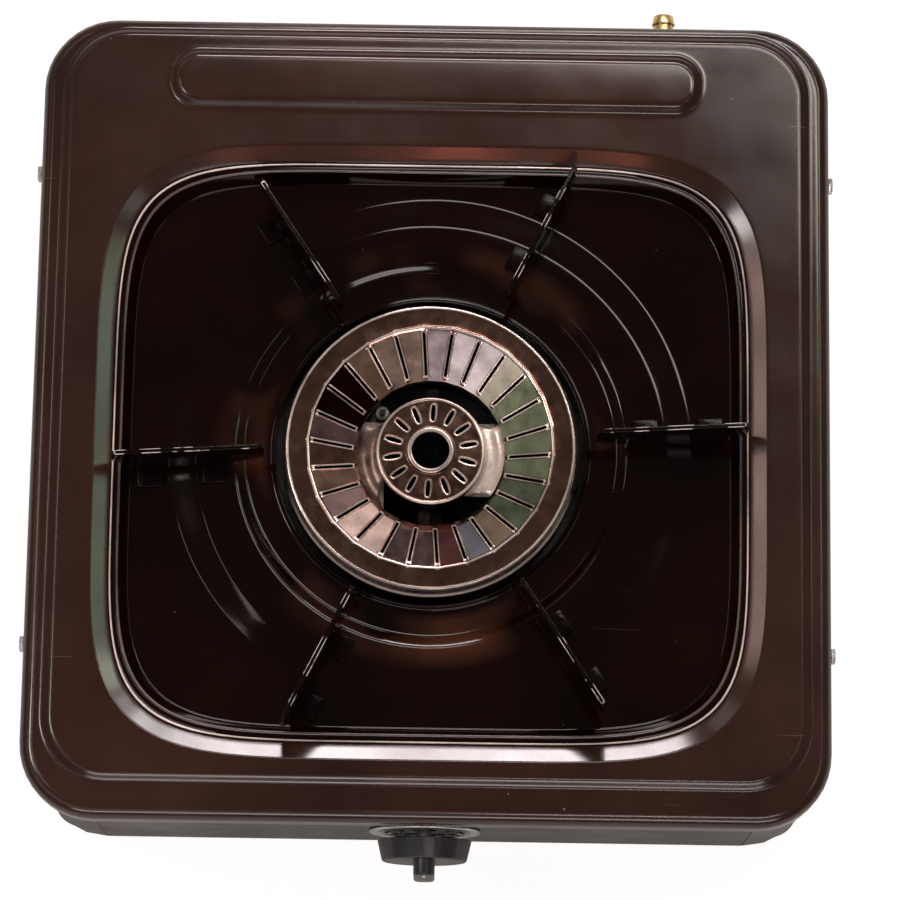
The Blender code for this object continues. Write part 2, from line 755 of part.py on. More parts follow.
def make_front_panel():
    # Flat sheet with its sides bent back and a foot flange along the bottom.
    half = PANEL_HALF
    back = PANEL_RETURN - SHELL_FRONT
    front = -SHELL_FRONT
    outline = [(half, back), (half, front), (-half, front), (-half, back),
               (SHEET - half, back), (SHEET - half, front + SHEET),
               (half - SHEET, front + SHEET), (half - SHEET, back)]
    height = FLANGE_TOP - EDGE_RADIUS - GAP - SHELL_BOTTOM
    bm = extruded([(x, y, SHELL_BOTTOM) for x, y in outline], (0, 0, height))
    panel = piece_from("front_panel", bm, CASE_PAINT, stove)
    foot = add_block(bmesh.new(), (PANEL_RETURN - half, front + SHEET / 2, SHELL_BOTTOM),
                     (half - PANEL_RETURN, front + PANEL_FOOT, SHELL_BOTTOM + SHEET))
    combine(panel, foot, "UNION")
    holes = bmesh.new()
    for place in panel_screw_places():
        add_hole(holes, SCREW_RADIUS + GAP, SHELL_BOTTOM, SHELL_BOTTOM + SHEET, place)
    bored = along_y(MIXER_LEVEL)
    add_hole(holes, PANEL_HOLE, front, front + SHEET, (0, 0), bored)
    for side in (-1, 1):
        add_hole(holes, SCREW_RADIUS + GAP, front, front + SHEET, (side * SCREW_PLACE, 0), bored)
    combine(panel, holes, "DIFFERENCE")


def foot_places():
    across = CASE_HALF_WIDTH - FOOT_INSET
    return [(-across, FOOT_INSET - CASE_FRONT), (across, FOOT_INSET - CASE_FRONT),
            (across, CASE_REAR - FOOT_INSET), (-across, CASE_REAR - FOOT_INSET)]


def bracket_screw_place():
    return LUG_PLACE + LUG_RADIUS + BRACKET_SHEET * 2 + BRACKET_FOOT / 2


def make_base_plate():
    outline = rounded_box(SHELL_HALF_WIDTH, SHELL_FRONT, SHELL_REAR, SHELL_CORNER)
    step = BASE_STEP_INSET
    raised = [rounded_box(CASE_HALF_WIDTH - inset, CASE_FRONT - inset, CASE_REAR - inset,
                          CASE_CORNER / 2) for inset in (step, step + BASE_STEP_WIDTH)]
    bm = bmesh.new()
    ring = first_ring(bm, outline, BASE_TOP)
    ring = next_ring(bm, ring, raised[0], BASE_TOP)
    ring = next_ring(bm, ring, raised[1], BASE_FLOOR)
    bm.faces.new(ring)
    upward(bm, lambda face: face.calc_area())
    base = piece_from("base_plate", bm, ZINC, stove)
    thicken(base, SHEET)
    holes = bmesh.new()
    for slot in range(AIR_SLOT_COUNT):
        add_block(holes, (AIR_SLOT_INNER, -AIR_SLOT_WIDTH / 2, BASE_BOTTOM - CUT_OVERRUN),
                  (AIR_SLOT_OUTER, AIR_SLOT_WIDTH / 2, BASE_FLOOR + CUT_OVERRUN),
                  around(2 * math.pi * slot / AIR_SLOT_COUNT))
    places = foot_places() + panel_screw_places()
    places += [(side * bracket_screw_place(), 0) for side in (-1, 1)]
    for place in places:
        add_hole(holes, SCREW_RADIUS + GAP, BASE_BOTTOM, BASE_FLOOR, place)
    combine(base, holes, "DIFFERENCE")


def make_feet():
    bore = SCREW_RADIUS + GAP
    pocket = FOOT_HEIGHT - FOOT_FLOOR
    bm = turned([(FOOT_POCKET, 0), (FOOT_RADIUS - FOOT_EDGE, 0), (FOOT_RADIUS, FOOT_EDGE),
                 (FOOT_TOP_RADIUS, FOOT_HEIGHT), (bore, FOOT_HEIGHT), (bore, pocket),
                 (FOOT_POCKET, pocket)], FOOT_STEPS)
    mesh = as_mesh("foot", bm, RUBBER)
    for number, (x, y) in enumerate(foot_places()):
        add_object("foot_%d" % (number + 1), mesh, stove, (x, y, 0))


def make_foot_screws():
    # The four long ones hold foot, base plate and the shell's bottom flange together.
    pocket = FOOT_HEIGHT - FOOT_FLOOR - GAP
    mesh = make_screw_mesh("foot_screw", FOOT_FLOOR + SCREW_LENGTH, FOOT_SCREW_HEAD)
    for number, (x, y) in enumerate(foot_places()):
        add_object("foot_screw_%d" % (number + 1), mesh, stove, (x, y, pocket))
    for number, (x, y) in enumerate(panel_screw_places()):
        add_object("panel_screw_%d" % (number + 1), screw_mesh, stove, (x, y, BASE_BOTTOM - GAP))


# Drip tray with its welded pan-support fins

def fin_angles():
    return [FIN_FIRST_ANGLE + 2 * math.pi * number / FIN_COUNT for number in range(FIN_COUNT)]


def tab_places():
    # Middle of each foot tab along the fin, and the level of the sheet under it.
    inner = (RIDGE_CREST_INNER + RIDGE_CREST_OUTER) / 2
    outer = FIN_FOOT - TAB_LENGTH / 2
    return [(inner, RIDGE_TOP), (outer, TRAY_FLOOR)]


def make_drip_tray():
    edge = WELL_BEVEL + TRAY_PLAY
    lip = edge + TRAY_LIP
    bm = bmesh.new()
    ring = first_ring(bm, well_outline(edge), TRAY_RIM_TOP)
    ring = next_ring(bm, ring, well_outline(lip), TRAY_RIM_TOP)
    ring = next_ring(bm, ring, well_outline(lip + TRAY_SLOPE), TRAY_FLOOR)
    like = well_outline(0)
    rounds = [(RIDGE_OUTER, TRAY_FLOOR), (RIDGE_CREST_OUTER, RIDGE_TOP),
              (RIDGE_CREST_INNER, RIDGE_TOP), (RIDGE_INNER, TRAY_FLOOR),
              (TRAY_OPENING + COLLAR_FILLET, TRAY_FLOOR), (TRAY_OPENING, TRAY_FLOOR + COLLAR_RISE)]
    for radius, level in rounds:
        ring = next_ring(bm, ring, circle_outline(radius, like), level)
    upward(bm, lambda face: face.calc_area())
    tray = piece_from("drip_tray", bm, TRAY_ENAMEL, burner_axis)
    thicken(tray, SHEET)


def fin_outline():
    # Side view of a fin, as (radius, level) points.
    crest = RIDGE_TOP + GAP
    floor = TRAY_FLOOR + GAP
    toe = crest + FIN_TOE_HEIGHT
    over_tray = floor + TAB_WIDTH
    return [(RIDGE_CREST_INNER, crest), (RIDGE_CREST_OUTER + GAP, crest),
            (RIDGE_OUTER + GAP, floor), (FIN_FOOT, floor), (FIN_FOOT + FIN_OUTER_SLANT, over_tray),
            (FIN_OUTER, over_tray + FIN_OVERHANG_RISE),
            (FIN_OUTER, FIN_TOP - FIN_TOP_CHAMFER), (FIN_OUTER - FIN_TOP_CHAMFER, FIN_TOP),
            (FIN_INNER + FIN_TOP_CHAMFER, FIN_TOP), (FIN_INNER, FIN_TOP - FIN_TOP_CHAMFER),
            (FIN_INNER, toe)]


def make_support_fins():
    half = FIN_SHEET / 2
    bm = extruded([(r, -half, z) for r, z in fin_outline()], (0, FIN_SHEET, 0))
    pattern = piece_from("support_fin", bm, FIN_ENAMEL, None)
    tabs = bmesh.new()
    dents = bmesh.new()
    for place, level in tab_places():
        low = level + GAP
        top = low + FIN_SHEET
        add_block(tabs, (place - TAB_LENGTH / 2, 0, low), (place + TAB_LENGTH / 2, half + TAB_WIDTH, top))
        matrix = Matrix.Translation((place, half + TAB_WIDTH / 2, 0))
        add_turned(dents, [(0, top - WELD_DENT_DEPTH), (WELD_DENT, top - WELD_DENT_DEPTH),
                           (WELD_DENT, top + CUT_OVERRUN), (0, top + CUT_OVERRUN)],
                   SCREW_STEPS, matrix)
    combine(pattern, tabs, "UNION")
    combine(pattern, dents, "DIFFERENCE")
    mesh = bake(pattern)
    bpy.data.objects.remove(pattern, do_unlink=True)
    for number, angle in enumerate(fin_angles()):
        add_object("support_fin_%d" % (number + 1), mesh, burner_axis, (0, 0, 0), (0, 0, angle))


# Burner: ring head, centre cap and casting

def make_ring_head():
    # The inner cone's mouth and foot are drawn onto flat facets, one between each pair of slots.
    rim_seat = TROUGH_RIM + GAP
    spigot_outer = TROUGH_RADIUS - TROUGH_WALL - GAP
    spigot_inner = spigot_outer - SPIGOT_WALL
    foot = CONE_FOOT - RING_WALL + RING_TOE
    profile = [(RING_RADIUS, rim_seat), (RING_RADIUS, RING_TOP - RING_EDGE),
               (RING_RADIUS - RING_EDGE, RING_TOP), (CONE_RADIUS, RING_TOP),
               (GAP_OUTER, CONE_FOOT), (GAP_OUTER, foot), (INNER_WALL, foot),
               (CONE_RADIUS, RING_TOP - RING_WALL - RING_EDGE),
               (spigot_inner, RING_TOP - RING_WALL - RING_EDGE),
               (spigot_inner, TROUGH_RIM - SPIGOT_DEPTH), (spigot_outer, TROUGH_RIM - SPIGOT_DEPTH),
               (spigot_outer, rim_seat)]
    bm = turned(profile, BURNER_STEPS)
    facet = math.pi / SLOT_COUNT
    flat_share = math.cos(facet)
    for vert in bm.verts:
        radius = math.hypot(vert.co.x, vert.co.y)
        on_cone = radius < CONE_RADIUS + MERGE and vert.co.z > foot + MERGE
        step = round(math.atan2(vert.co.y, vert.co.x) / facet)
        if on_cone and step % 2 == 0:
            vert.co.x *= flat_share
            vert.co.y *= flat_share
    ring = piece_from("burner_ring_head", bm, POLISHED, burner_axis)
    slots = bmesh.new()
    inner = GAP_OUTER + SLOT_TOE
    outer = CONE_RADIUS - SLOT_TOP_MARGIN
    for slot in range(SLOT_COUNT):
        add_block(slots, (inner, -SLOT_WIDTH / 2, foot - CUT_OVERRUN),
                  (outer, SLOT_WIDTH / 2, RING_TOP + CUT_OVERRUN), around(facet * (2 * slot + 1)))
    combine(ring, slots, "DIFFERENCE")


def make_center_cap():
    seat = HUB_TOP + GAP
    top = seat + CAP_HEIGHT
    hub_inner = HUB_RADIUS - HUB_WALL
    spigot_outer = hub_inner - GAP
    spigot_inner = spigot_outer - CAP_SPIGOT_WALL
    collar = CAP_HOLE + CAP_COLLAR_WALL
    outer = HUB_RADIUS + PLAY
    under = top - CAP_PLATE
    profile = [(CAP_HOLE, seat), (CAP_HOLE, top + CAP_CROWN + CAP_COLLAR_RISE),
               (collar - PLAY, top + CAP_CROWN + CAP_COLLAR_RISE),
               (collar, top + CAP_CROWN + CAP_COLLAR_RISE - PLAY), (collar, top + CAP_CROWN),
               (outer - CAP_BEAD, top), (outer - CAP_BEAD * 2 / 3, top + CAP_BEAD_RISE),
               (outer - CAP_BEAD / 3, top + CAP_BEAD_RISE), (outer, top), (outer, seat),
               (spigot_outer, seat), (spigot_outer, HUB_TOP - SPIGOT_DEPTH / 2),
               (spigot_inner, HUB_TOP - SPIGOT_DEPTH / 2), (spigot_inner, under),
               (collar + PLAY, under), (collar + PLAY, seat)]
    cap = piece_from("burner_center_cap", turned(profile, CAP_SLOT_COUNT * 2), POLISHED, burner_axis)
    slots = bmesh.new()
    for slot in range(CAP_SLOT_COUNT):
        angle = CAP_FIRST_SLOT + 2 * math.pi * slot / CAP_SLOT_COUNT
        add_block(slots, (CAP_SLOT_INNER, -CAP_SLOT_WIDTH / 2, under - CUT_OVERRUN),
                  (CAP_SLOT_OUTER, CAP_SLOT_WIDTH / 2, top + CUT_OVERRUN), around(angle))
    combine(cap, slots, "DIFFERENCE")


def lug_places():
    spots = [(LUG_PLACE, 0), (-LUG_PLACE, 0)]
    spots.append((LUG_PLACE * math.cos(ELECTRODE_ANGLE), LUG_PLACE * math.sin(ELECTRODE_ANGLE)))
    return spots


def casting_profile():
    air_tube = AIR_BORE + AIR_TUBE_WALL
    hub_inner = HUB_RADIUS - HUB_WALL
    ring_seat = CONE_FOOT - RING_WALL + RING_TOE - GAP
    inner_face = TROUGH_RADIUS - TROUGH_WALL
    return [(AIR_BORE, HUB_BOTTOM), (AIR_BORE, HUB_TOP), (air_tube, HUB_TOP),
            (air_tube, HUB_FLOOR), (hub_inner, HUB_FLOOR), (hub_inner, HUB_TOP),
            (HUB_RADIUS, HUB_TOP), (HUB_RADIUS, WEB_TOP), (GAP_OUTER, WEB_TOP),
            (GAP_OUTER, ring_seat), (INNER_WALL, ring_seat), (INNER_WALL, TROUGH_FLOOR),
            (inner_face, TROUGH_FLOOR), (inner_face, TROUGH_RIM), (TROUGH_RADIUS, TROUGH_RIM),
            (TROUGH_RADIUS, TROUGH_BOTTOM + CAST_WALL), (TROUGH_RADIUS - CAST_WALL, TROUGH_BOTTOM),
            (HUB_RADIUS, TROUGH_BOTTOM), (HUB_RADIUS, HUB_BOTTOM)]


def air_gap_cutter():
    # One arc behind the arms and one in front, between hub and trough. The arms' edges beside
    # them run across, except the left one in front, which runs front to back.
    inner = HUB_RADIUS
    outer = GAP_OUTER
    low = TROUGH_BOTTOM - CUT_OVERRUN
    bm = bmesh.new()
    for side, edge in ((1, ARM_REAR), (-1, ARM_FRONT)):
        outer_start = math.asin(edge / outer)
        inner_start = math.asin(edge / inner)
        outer_end = math.pi - outer_start
        inner_end = math.pi - inner_start
        if side < 0:
            outer_end = math.acos(-ARM_LEFT / outer)
            inner_end = math.acos(-ARM_LEFT / inner)
        outline = arc((0, 0), outer, outer_start, outer_end, CORNER_STEPS * 2)
        outline += arc((0, 0), inner, inner_end, inner_start, CORNER_STEPS * 2)
        face = bm.faces.new([bm.verts.new((x, side * y, low)) for x, y in outline])
        made = bmesh.ops.extrude_face_region(bm, geom=[face])["geom"]
        moved = [item for item in made if isinstance(item, bmesh.types.BMVert)]
        bmesh.ops.translate(bm, verts=moved, vec=(0, 0, WEB_TOP - low + CUT_OVERRUN))
    return face_out(bm)


def window_blocks(bm, front, back, matrix):
    # Sector windows as (across, along-axis, up) prisms about the tube's axis.
    for window in range(WINDOW_COUNT):
        middle = math.pi / 2 + 2 * math.pi * window / WINDOW_COUNT
        first = middle - WINDOW_ARC / 2
        last = middle + WINDOW_ARC / 2
        outline = arc((0, 0), WINDOW_OUTER, first, last, 4)
        outline += arc((0, 0), WINDOW_INNER, last, first, 4)
        face = bm.faces.new([bm.verts.new(matrix @ Vector((x, y, front))) for x, y in outline])
        made = bmesh.ops.extrude_face_region(bm, geom=[face])["geom"]
        moved = [item for item in made if isinstance(item, bmesh.types.BMVert)]
        shift = matrix.to_3x3() @ Vector((0, 0, back - front))
        bmesh.ops.translate(bm, verts=moved, vec=shift)
    return bm


def make_burner_body():
    body = piece_from("burner_body", turned(casting_profile(), CASTING_STEPS), CAST, burner_axis)
    combine(body, air_gap_cutter(), "DIFFERENCE")
    tube = bmesh.new()
    inside = HUB_RADIUS - HUB_WALL / 2
    bell_end = MIXER_REACH - BELL_LENGTH
    add_turned(tube, [(0, -MIXER_REACH), (BELL_RADIUS, -MIXER_REACH), (BELL_RADIUS, -bell_end),
                      (MIXER_RADIUS, BELL_TAPER - bell_end), (MIXER_RADIUS, -inside), (0, -inside)],
               ROUND_STEPS, along_y(MIXER_LEVEL))
    for x, y in lug_places():
        add_turned(tube, [(0, LUG_BOTTOM), (LUG_RADIUS, LUG_BOTTOM),
                          (LUG_RADIUS, TROUGH_BOTTOM + CAST_WALL / 2),
                          (0, TROUGH_BOTTOM + CAST_WALL / 2)],
                   SMALL_STEPS, Matrix.Translation((x, y, 0)))
    combine(body, tube, "UNION")
    cuts = bmesh.new()
    throat = -MIXER_REACH * THROAT_SHARE
    bell_bore = BELL_RADIUS - BELL_WALL
    add_turned(cuts, [(0, BELL_WALL - MIXER_REACH), (bell_bore, BELL_WALL - MIXER_REACH),
                      (bell_bore, -bell_end), (MIXER_THROAT, throat),
                      (MIXER_BORE, throat / 2), (MIXER_BORE, -inside + HUB_WALL),
                      (0, -inside + HUB_WALL)],
               ROUND_STEPS, along_y(MIXER_LEVEL))
    duct_low = TROUGH_FLOOR
    duct_high = WEB_TOP - CAST_WALL
    for side in (-1, 1):
        reach = sorted((side * (HUB_RADIUS - HUB_WALL * 2), side * (INNER_WALL + HUB_WALL)))
        add_block(cuts, (reach[0], -DUCT_WIDTH / 2, duct_low), (reach[1], DUCT_WIDTH / 2, duct_high))
    for x, y in lug_places():
        bore = SCREW_RADIUS + GAP
        high = LUG_BOTTOM + SCREW_LENGTH
        add_turned(cuts, [(0, LUG_BOTTOM - CUT_OVERRUN), (bore, LUG_BOTTOM - CUT_OVERRUN),
                          (bore, high), (0, high)], SCREW_STEPS, Matrix.Translation((x, y, 0)))
    combine(body, cuts, "DIFFERENCE")
    inlet = bmesh.new()
    jet_hole = JET_NOZZLE + PLAY
    add_turned(inlet, [(0, -MIXER_REACH - CUT_OVERRUN), (jet_hole, -MIXER_REACH - CUT_OVERRUN),
                       (jet_hole, BELL_WALL - MIXER_REACH + CUT_OVERRUN),
                       (0, BELL_WALL - MIXER_REACH + CUT_OVERRUN)],
               SMALL_STEPS, along_y(MIXER_LEVEL))
    window_blocks(inlet, -MIXER_REACH - CUT_OVERRUN, BELL_WALL - MIXER_REACH + CUT_OVERRUN,
                  along_y(MIXER_LEVEL))
    combine(body, face_out(inlet), "DIFFERENCE")


def make_air_shutter():
    # Disc with the tube's windows in it; local heights run outward from the tube's inlet face.
    low = GAP
    high = GAP + SHUTTER_SHEET
    bore = JET_NOZZLE + PLAY
    bm = turned([(bore, low), (BELL_RADIUS, low), (BELL_RADIUS, high), (bore, high)], ROUND_STEPS)
    shutter = piece_from("air_shutter", bm, ZINC, shutter_axis)
    tab = bmesh.new()
    add_block(tab, (-SHUTTER_TAB / 2, BELL_RADIUS - SHUTTER_TAB / 2, low),
              (SHUTTER_TAB / 2, BELL_RADIUS + SHUTTER_TAB, high))
    combine(shutter, tab, "UNION")
    windows = window_blocks(bmesh.new(), low - CUT_OVERRUN, high + CUT_OVERRUN,
                            Matrix.Rotation(math.pi, 4, "Z"))
    combine(shutter, face_out(windows), "DIFFERENCE")


def make_burner_brackets():
    seat = BRACKET_SEAT
    foot = BASE_FLOOR + GAP
    inner = LUG_PLACE - LUG_RADIUS
    web = LUG_PLACE + LUG_RADIUS + BRACKET_SHEET
    outer = web + BRACKET_SHEET + BRACKET_FOOT
    outline = [(inner, seat), (web + BRACKET_SHEET, seat), (web + BRACKET_SHEET, foot + BRACKET_SHEET),
               (outer, foot + BRACKET_SHEET), (outer, foot), (web, foot),
               (web, seat - BRACKET_SHEET), (inner, seat - BRACKET_SHEET)]
    for side, label in ((-1, "left"), (1, "right")):
        points = [(side * x, -BRACKET_WIDTH / 2, z) for x, z in outline]
        bracket = piece_from("burner_bracket_" + label, extruded(points, (0, BRACKET_WIDTH, 0)),
                             ZINC, stove)
        holes = bmesh.new()
        for x, low in ((LUG_PLACE, seat - BRACKET_SHEET), (bracket_screw_place(), foot)):
            add_hole(holes, SCREW_RADIUS + GAP, low, low + BRACKET_SHEET, (side * x, 0))
        combine(bracket, holes, "DIFFERENCE")


def make_burner_screws():
    head_top = BRACKET_SEAT - BRACKET_SHEET - GAP
    names = ["burner_screw_1", "burner_screw_2", "electrode_screw"]
    for name, (x, y) in zip(names, lug_places()):
        add_object(name, screw_mesh, stove, (x, y, head_top))
    for number, side in enumerate((-1, 1)):
        add_object("bracket_screw_%d" % (number + 1), screw_mesh, stove,
                   (side * bracket_screw_place(), 0, BASE_FLOOR - SHEET - GAP))


# Electrode, its bracket, the igniter and the lead between them

def electrode_spot():
    return Vector((ELECTRODE_PLACE * math.cos(ELECTRODE_ANGLE),
                   ELECTRODE_PLACE * math.sin(ELECTRODE_ANGLE), 0))


def insulator_top():
    return RING_TOP - INSULATOR_TOP_DROP


def rod_bottom():
    return insulator_top() - INSULATOR_LENGTH - ROD_TAIL


def tube_curve(name, points, radius, resolution, material, parent):
    line = bpy.data.curves.new(name, "CURVE")
    line.dimensions = "3D"
    line.bevel_depth = radius
    line.bevel_resolution = resolution
    line.use_fill_caps = True
    path = line.splines.new("POLY")
    path.points.add(len(points) - 1)
    for spot, place in zip(path.points, points):
        spot.co = (*place, 1)
    line.materials.append(material)
    tube = bpy.data.objects.new(name, line)
    bpy.context.scene.collection.objects.link(tube)
    tube.parent = parent
    return tube


def make_electrode():
    spot = electrode_spot()
    inward = -spot.normalized()
    tip = RING_TOP - ELECTRODE_TIP_DROP
    bend = tip - ELECTRODE_BEND
    rod = [spot + Vector((0, 0, rod_bottom())), spot + Vector((0, 0, bend)),
           spot + inward * ELECTRODE_TIP_LEAN + Vector((0, 0, tip))]
    tube_curve("electrode_rod", rod, ELECTRODE_ROD, 1, STEEL, stove)
    bore = ELECTRODE_ROD + GAP
    top = insulator_top()
    plate_low = BRACKET_SEAT - BRACKET_SHEET
    collar_top = plate_low - GAP
    bottom = top - INSULATOR_LENGTH
    profile = [(bore, bottom), (INSULATOR_RADIUS, bottom),
               (INSULATOR_RADIUS, collar_top - INSULATOR_COLLAR_HEIGHT),
               (INSULATOR_COLLAR, collar_top - INSULATOR_COLLAR_HEIGHT),
               (INSULATOR_COLLAR, collar_top), (INSULATOR_RADIUS, collar_top),
               (INSULATOR_RADIUS, top), (bore, top)]
    piece_from("electrode_insulator", turned(profile, SMALL_STEPS), CERAMIC, stove, spot)
    inner = ELECTRODE_PLACE - INSULATOR_COLLAR
    outer = LUG_PLACE + LUG_RADIUS
    half = INSULATOR_COLLAR + BRACKET_SHEET
    bm = add_block(bmesh.new(), (inner, -half, plate_low), (outer, half, BRACKET_SEAT))
    bracket = piece_from("electrode_bracket", bm, ZINC, stove, (0, 0, 0), (0, 0, ELECTRODE_ANGLE))
    holes = bmesh.new()
    for place, radius in ((ELECTRODE_PLACE, INSULATOR_RADIUS + GAP), (LUG_PLACE, SCREW_RADIUS + GAP)):
        add_hole(holes, radius, plate_low, BRACKET_SEAT, (place, 0))
    combine(bracket, holes, "DIFFERENCE")


def piezo_low():
    # Lowest corner of the igniter, beside the valve on the left.
    return (-(VALVE_HALF + GAP + PIEZO_WIDTH), -SHELL_FRONT - VALVE_FRONT,
            MIXER_LEVEL - PIEZO_HEIGHT / 2)


def make_piezo():
    x, y, z = piezo_low()
    bm = add_block(bmesh.new(), (x, y, z), (x + PIEZO_WIDTH, y + PIEZO_LENGTH, z + PIEZO_HEIGHT))
    piezo = piece_from("piezo_igniter", bm, PLASTIC, stove)
    round_edges(piezo, VALVE_EDGE)
    stud = bmesh.new()
    rear = y + PIEZO_LENGTH
    add_turned(stud, [(0, rear - CUT_OVERRUN), (PIEZO_STUD, rear - CUT_OVERRUN),
                      (PIEZO_STUD, rear + PIEZO_STUD_LENGTH), (0, rear + PIEZO_STUD_LENGTH)],
               SMALL_STEPS, along_y(MIXER_LEVEL, x + PIEZO_WIDTH / 2))
    combine(piezo, stud, "UNION")


def lead_route():
    # From the igniter's stud down to the base, back along it and up under the electrode.
    x, y, z = piezo_low()
    start = Vector((x + PIEZO_WIDTH / 2, y + PIEZO_LENGTH + PIEZO_STUD_LENGTH + GAP, MIXER_LEVEL))
    end = electrode_spot() + Vector((0, 0, rod_bottom() - GAP))
    floor = BASE_FLOOR + LEAD_RADIUS + GAP
    drop = MIXER_LEVEL - floor
    return [start, start + Vector((0, drop / 3, 0)),
            Vector((start.x, start.y + drop * 0.7, floor + drop * 0.55)),
            Vector((start.x, start.y + drop, floor)), Vector((start.x, start.y + drop * 1.5, floor)),
            Vector((end.x, end.y - drop * 0.9, floor)), Vector((end.x, end.y - drop * 0.35, floor)),
            Vector((end.x, end.y, floor + drop * 0.35)), end - Vector((0, 0, drop * 0.12)), end]


def smooth_line(route, count):
    # Catmull-Rom curve through the route's points, read at even steps.
    points = [route[0]] + route + [route[-1]]
    spans = len(route) - 1
    line = []
    for step in range(count + 1):
        place = spans * step / count
        span = min(int(place), spans - 1)
        t = place - span
        a, b, c, d = points[span:span + 4]
        line.append(((b * 2) + (c - a) * t + (a * 2 - b * 5 + c * 4 - d) * t ** 2
                     + (b * 3 - a - c * 3 + d) * t ** 3) / 2)
    return line


def make_lead():
    # The smooth line would dip below the base beside its bends, so it is kept lying on it.
    line = smooth_line(lead_route(), LEAD_POINTS)
    for point in line:
        point.z = max(point.z, BASE_FLOOR + LEAD_RADIUS + GAP)
    tube_curve("ignition_lead", line, LEAD_RADIUS, 2, SILICONE, stove)


def make_lead_clip():
    # Saddle over the lead where it lies straight on the base, with one foot on each side.
    route = lead_route()
    here = (route[4] + route[5]) / 2
    inner = LEAD_RADIUS + GAP
    outer = inner + CLIP_WALL
    floor = BASE_FLOOR + GAP
    level = BASE_FLOOR + GAP + LEAD_RADIUS
    side = [(-outer - CLIP_TAB, floor), (-inner, floor)]
    inside = arc((0, level), inner, math.pi, 0, CORNER_STEPS)
    outside = arc((0, level), outer, 0, math.pi, CORNER_STEPS)
    outline = side + inside + [(inner, floor), (outer + CLIP_TAB, floor),
                               (outer + CLIP_TAB, floor + CLIP_WALL), (outer, floor + CLIP_WALL)]
    outline += outside + [(-outer, floor + CLIP_WALL), (-outer - CLIP_TAB, floor + CLIP_WALL)]
    points = [(here.x + x, here.y - CLIP_WIDTH / 2, z) for x, z in outline]
    piece_from("lead_clip", extruded(points, (0, CLIP_WIDTH, 0)), ZINC, stove)


# Valve, spindle, spring, knob and bezel; local heights run outward from the front panel's face

def d_outline(radius, flat):
    # Circle with one flat, on the side of +X.
    start = math.acos(flat / radius)
    return arc((0, 0), radius, start, 2 * math.pi - start, ROUND_STEPS // 2)


def d_prism(bm, radius, flat, low, high):
    face = bm.faces.new([bm.verts.new((x, y, low)) for x, y in d_outline(radius, flat)])
    made = bmesh.ops.extrude_face_region(bm, geom=[face])["geom"]
    moved = [item for item in made if isinstance(item, bmesh.types.BMVert)]
    bmesh.ops.translate(bm, verts=moved, vec=(0, 0, high - low))
    return face_out(bm)


def make_valve_body():
    half = VALVE_HALF
    bm = add_block(bmesh.new(), (-half, -half, VALVE_BACK), (half, half, VALVE_FRONT))
    valve = piece_from("valve_body", bm, CAST, knob_axis)
    round_edges(valve, VALVE_EDGE)
    boss = bmesh.new()
    sideways = Matrix.Translation((0, 0, (VALVE_FRONT + VALVE_BACK) / 2)) @ Matrix.Rotation(
        math.pi / 2, 4, "Y")
    add_turned(boss, [(0, half - VALVE_EDGE), (INLET_BOSS, half - VALVE_EDGE),
                      (INLET_BOSS, half + INLET_BOSS_LENGTH), (0, half + INLET_BOSS_LENGTH)],
               ROUND_STEPS, sideways)
    combine(valve, boss, "UNION")
    cuts = bmesh.new()
    add_turned(cuts, [(0, CAVITY_END), (PLUG_BORE - PLUG_TAPER, CAVITY_END),
                      (PLUG_BORE, PLUG_FRONT), (PLUG_BORE, VALVE_FRONT + CUT_OVERRUN),
                      (0, VALVE_FRONT + CUT_OVERRUN)], ROUND_STEPS, Matrix.Identity(4))
    stem = JET_STEM + GAP
    add_turned(cuts, [(0, VALVE_BACK - CUT_OVERRUN), (stem, VALVE_BACK - CUT_OVERRUN),
                      (stem, VALVE_BACK + JET_STEM_LENGTH), (0, VALVE_BACK + JET_STEM_LENGTH)],
               SMALL_STEPS, Matrix.Identity(4))
    seat = half + INLET_BOSS_LENGTH - PIPE_SEAT
    add_turned(cuts, [(0, seat), (PIPE_RADIUS + GAP, seat),
                      (PIPE_RADIUS + GAP, half + INLET_BOSS_LENGTH + CUT_OVERRUN),
                      (0, half + INLET_BOSS_LENGTH + CUT_OVERRUN)], SMALL_STEPS, sideways)
    for side in (-1, 1):
        bore = SCREW_RADIUS + GAP
        add_turned(cuts, [(0, VALVE_FRONT - SCREW_LENGTH), (bore, VALVE_FRONT - SCREW_LENGTH),
                          (bore, VALVE_FRONT + CUT_OVERRUN), (0, VALVE_FRONT + CUT_OVERRUN)],
                   SCREW_STEPS, Matrix.Translation((side * SCREW_PLACE, 0, 0)))
    combine(valve, cuts, "DIFFERENCE")


def make_valve_cap():
    half = VALVE_HALF
    bm = add_block(bmesh.new(), (-half, -half, CAP_BACK), (half, half, CAP_BACK + VALVE_CAP))
    cap = piece_from("valve_cap", bm, ZINC, knob_axis)
    holes = bmesh.new()
    add_hole(holes, SPINDLE_RADIUS + GAP, CAP_BACK, CAP_BACK + VALVE_CAP)
    for side in (-1, 1):
        add_hole(holes, SCREW_RADIUS + GAP, CAP_BACK, CAP_BACK + VALVE_CAP, (side * SCREW_PLACE, 0))
    combine(cap, holes, "DIFFERENCE")


def make_valve_screws():
    for number, side in enumerate((-1, 1)):
        add_object("valve_screw_%d" % (number + 1), screw_mesh, knob_axis,
                   (side * SCREW_PLACE, 0, GAP), (math.pi, 0, 0))


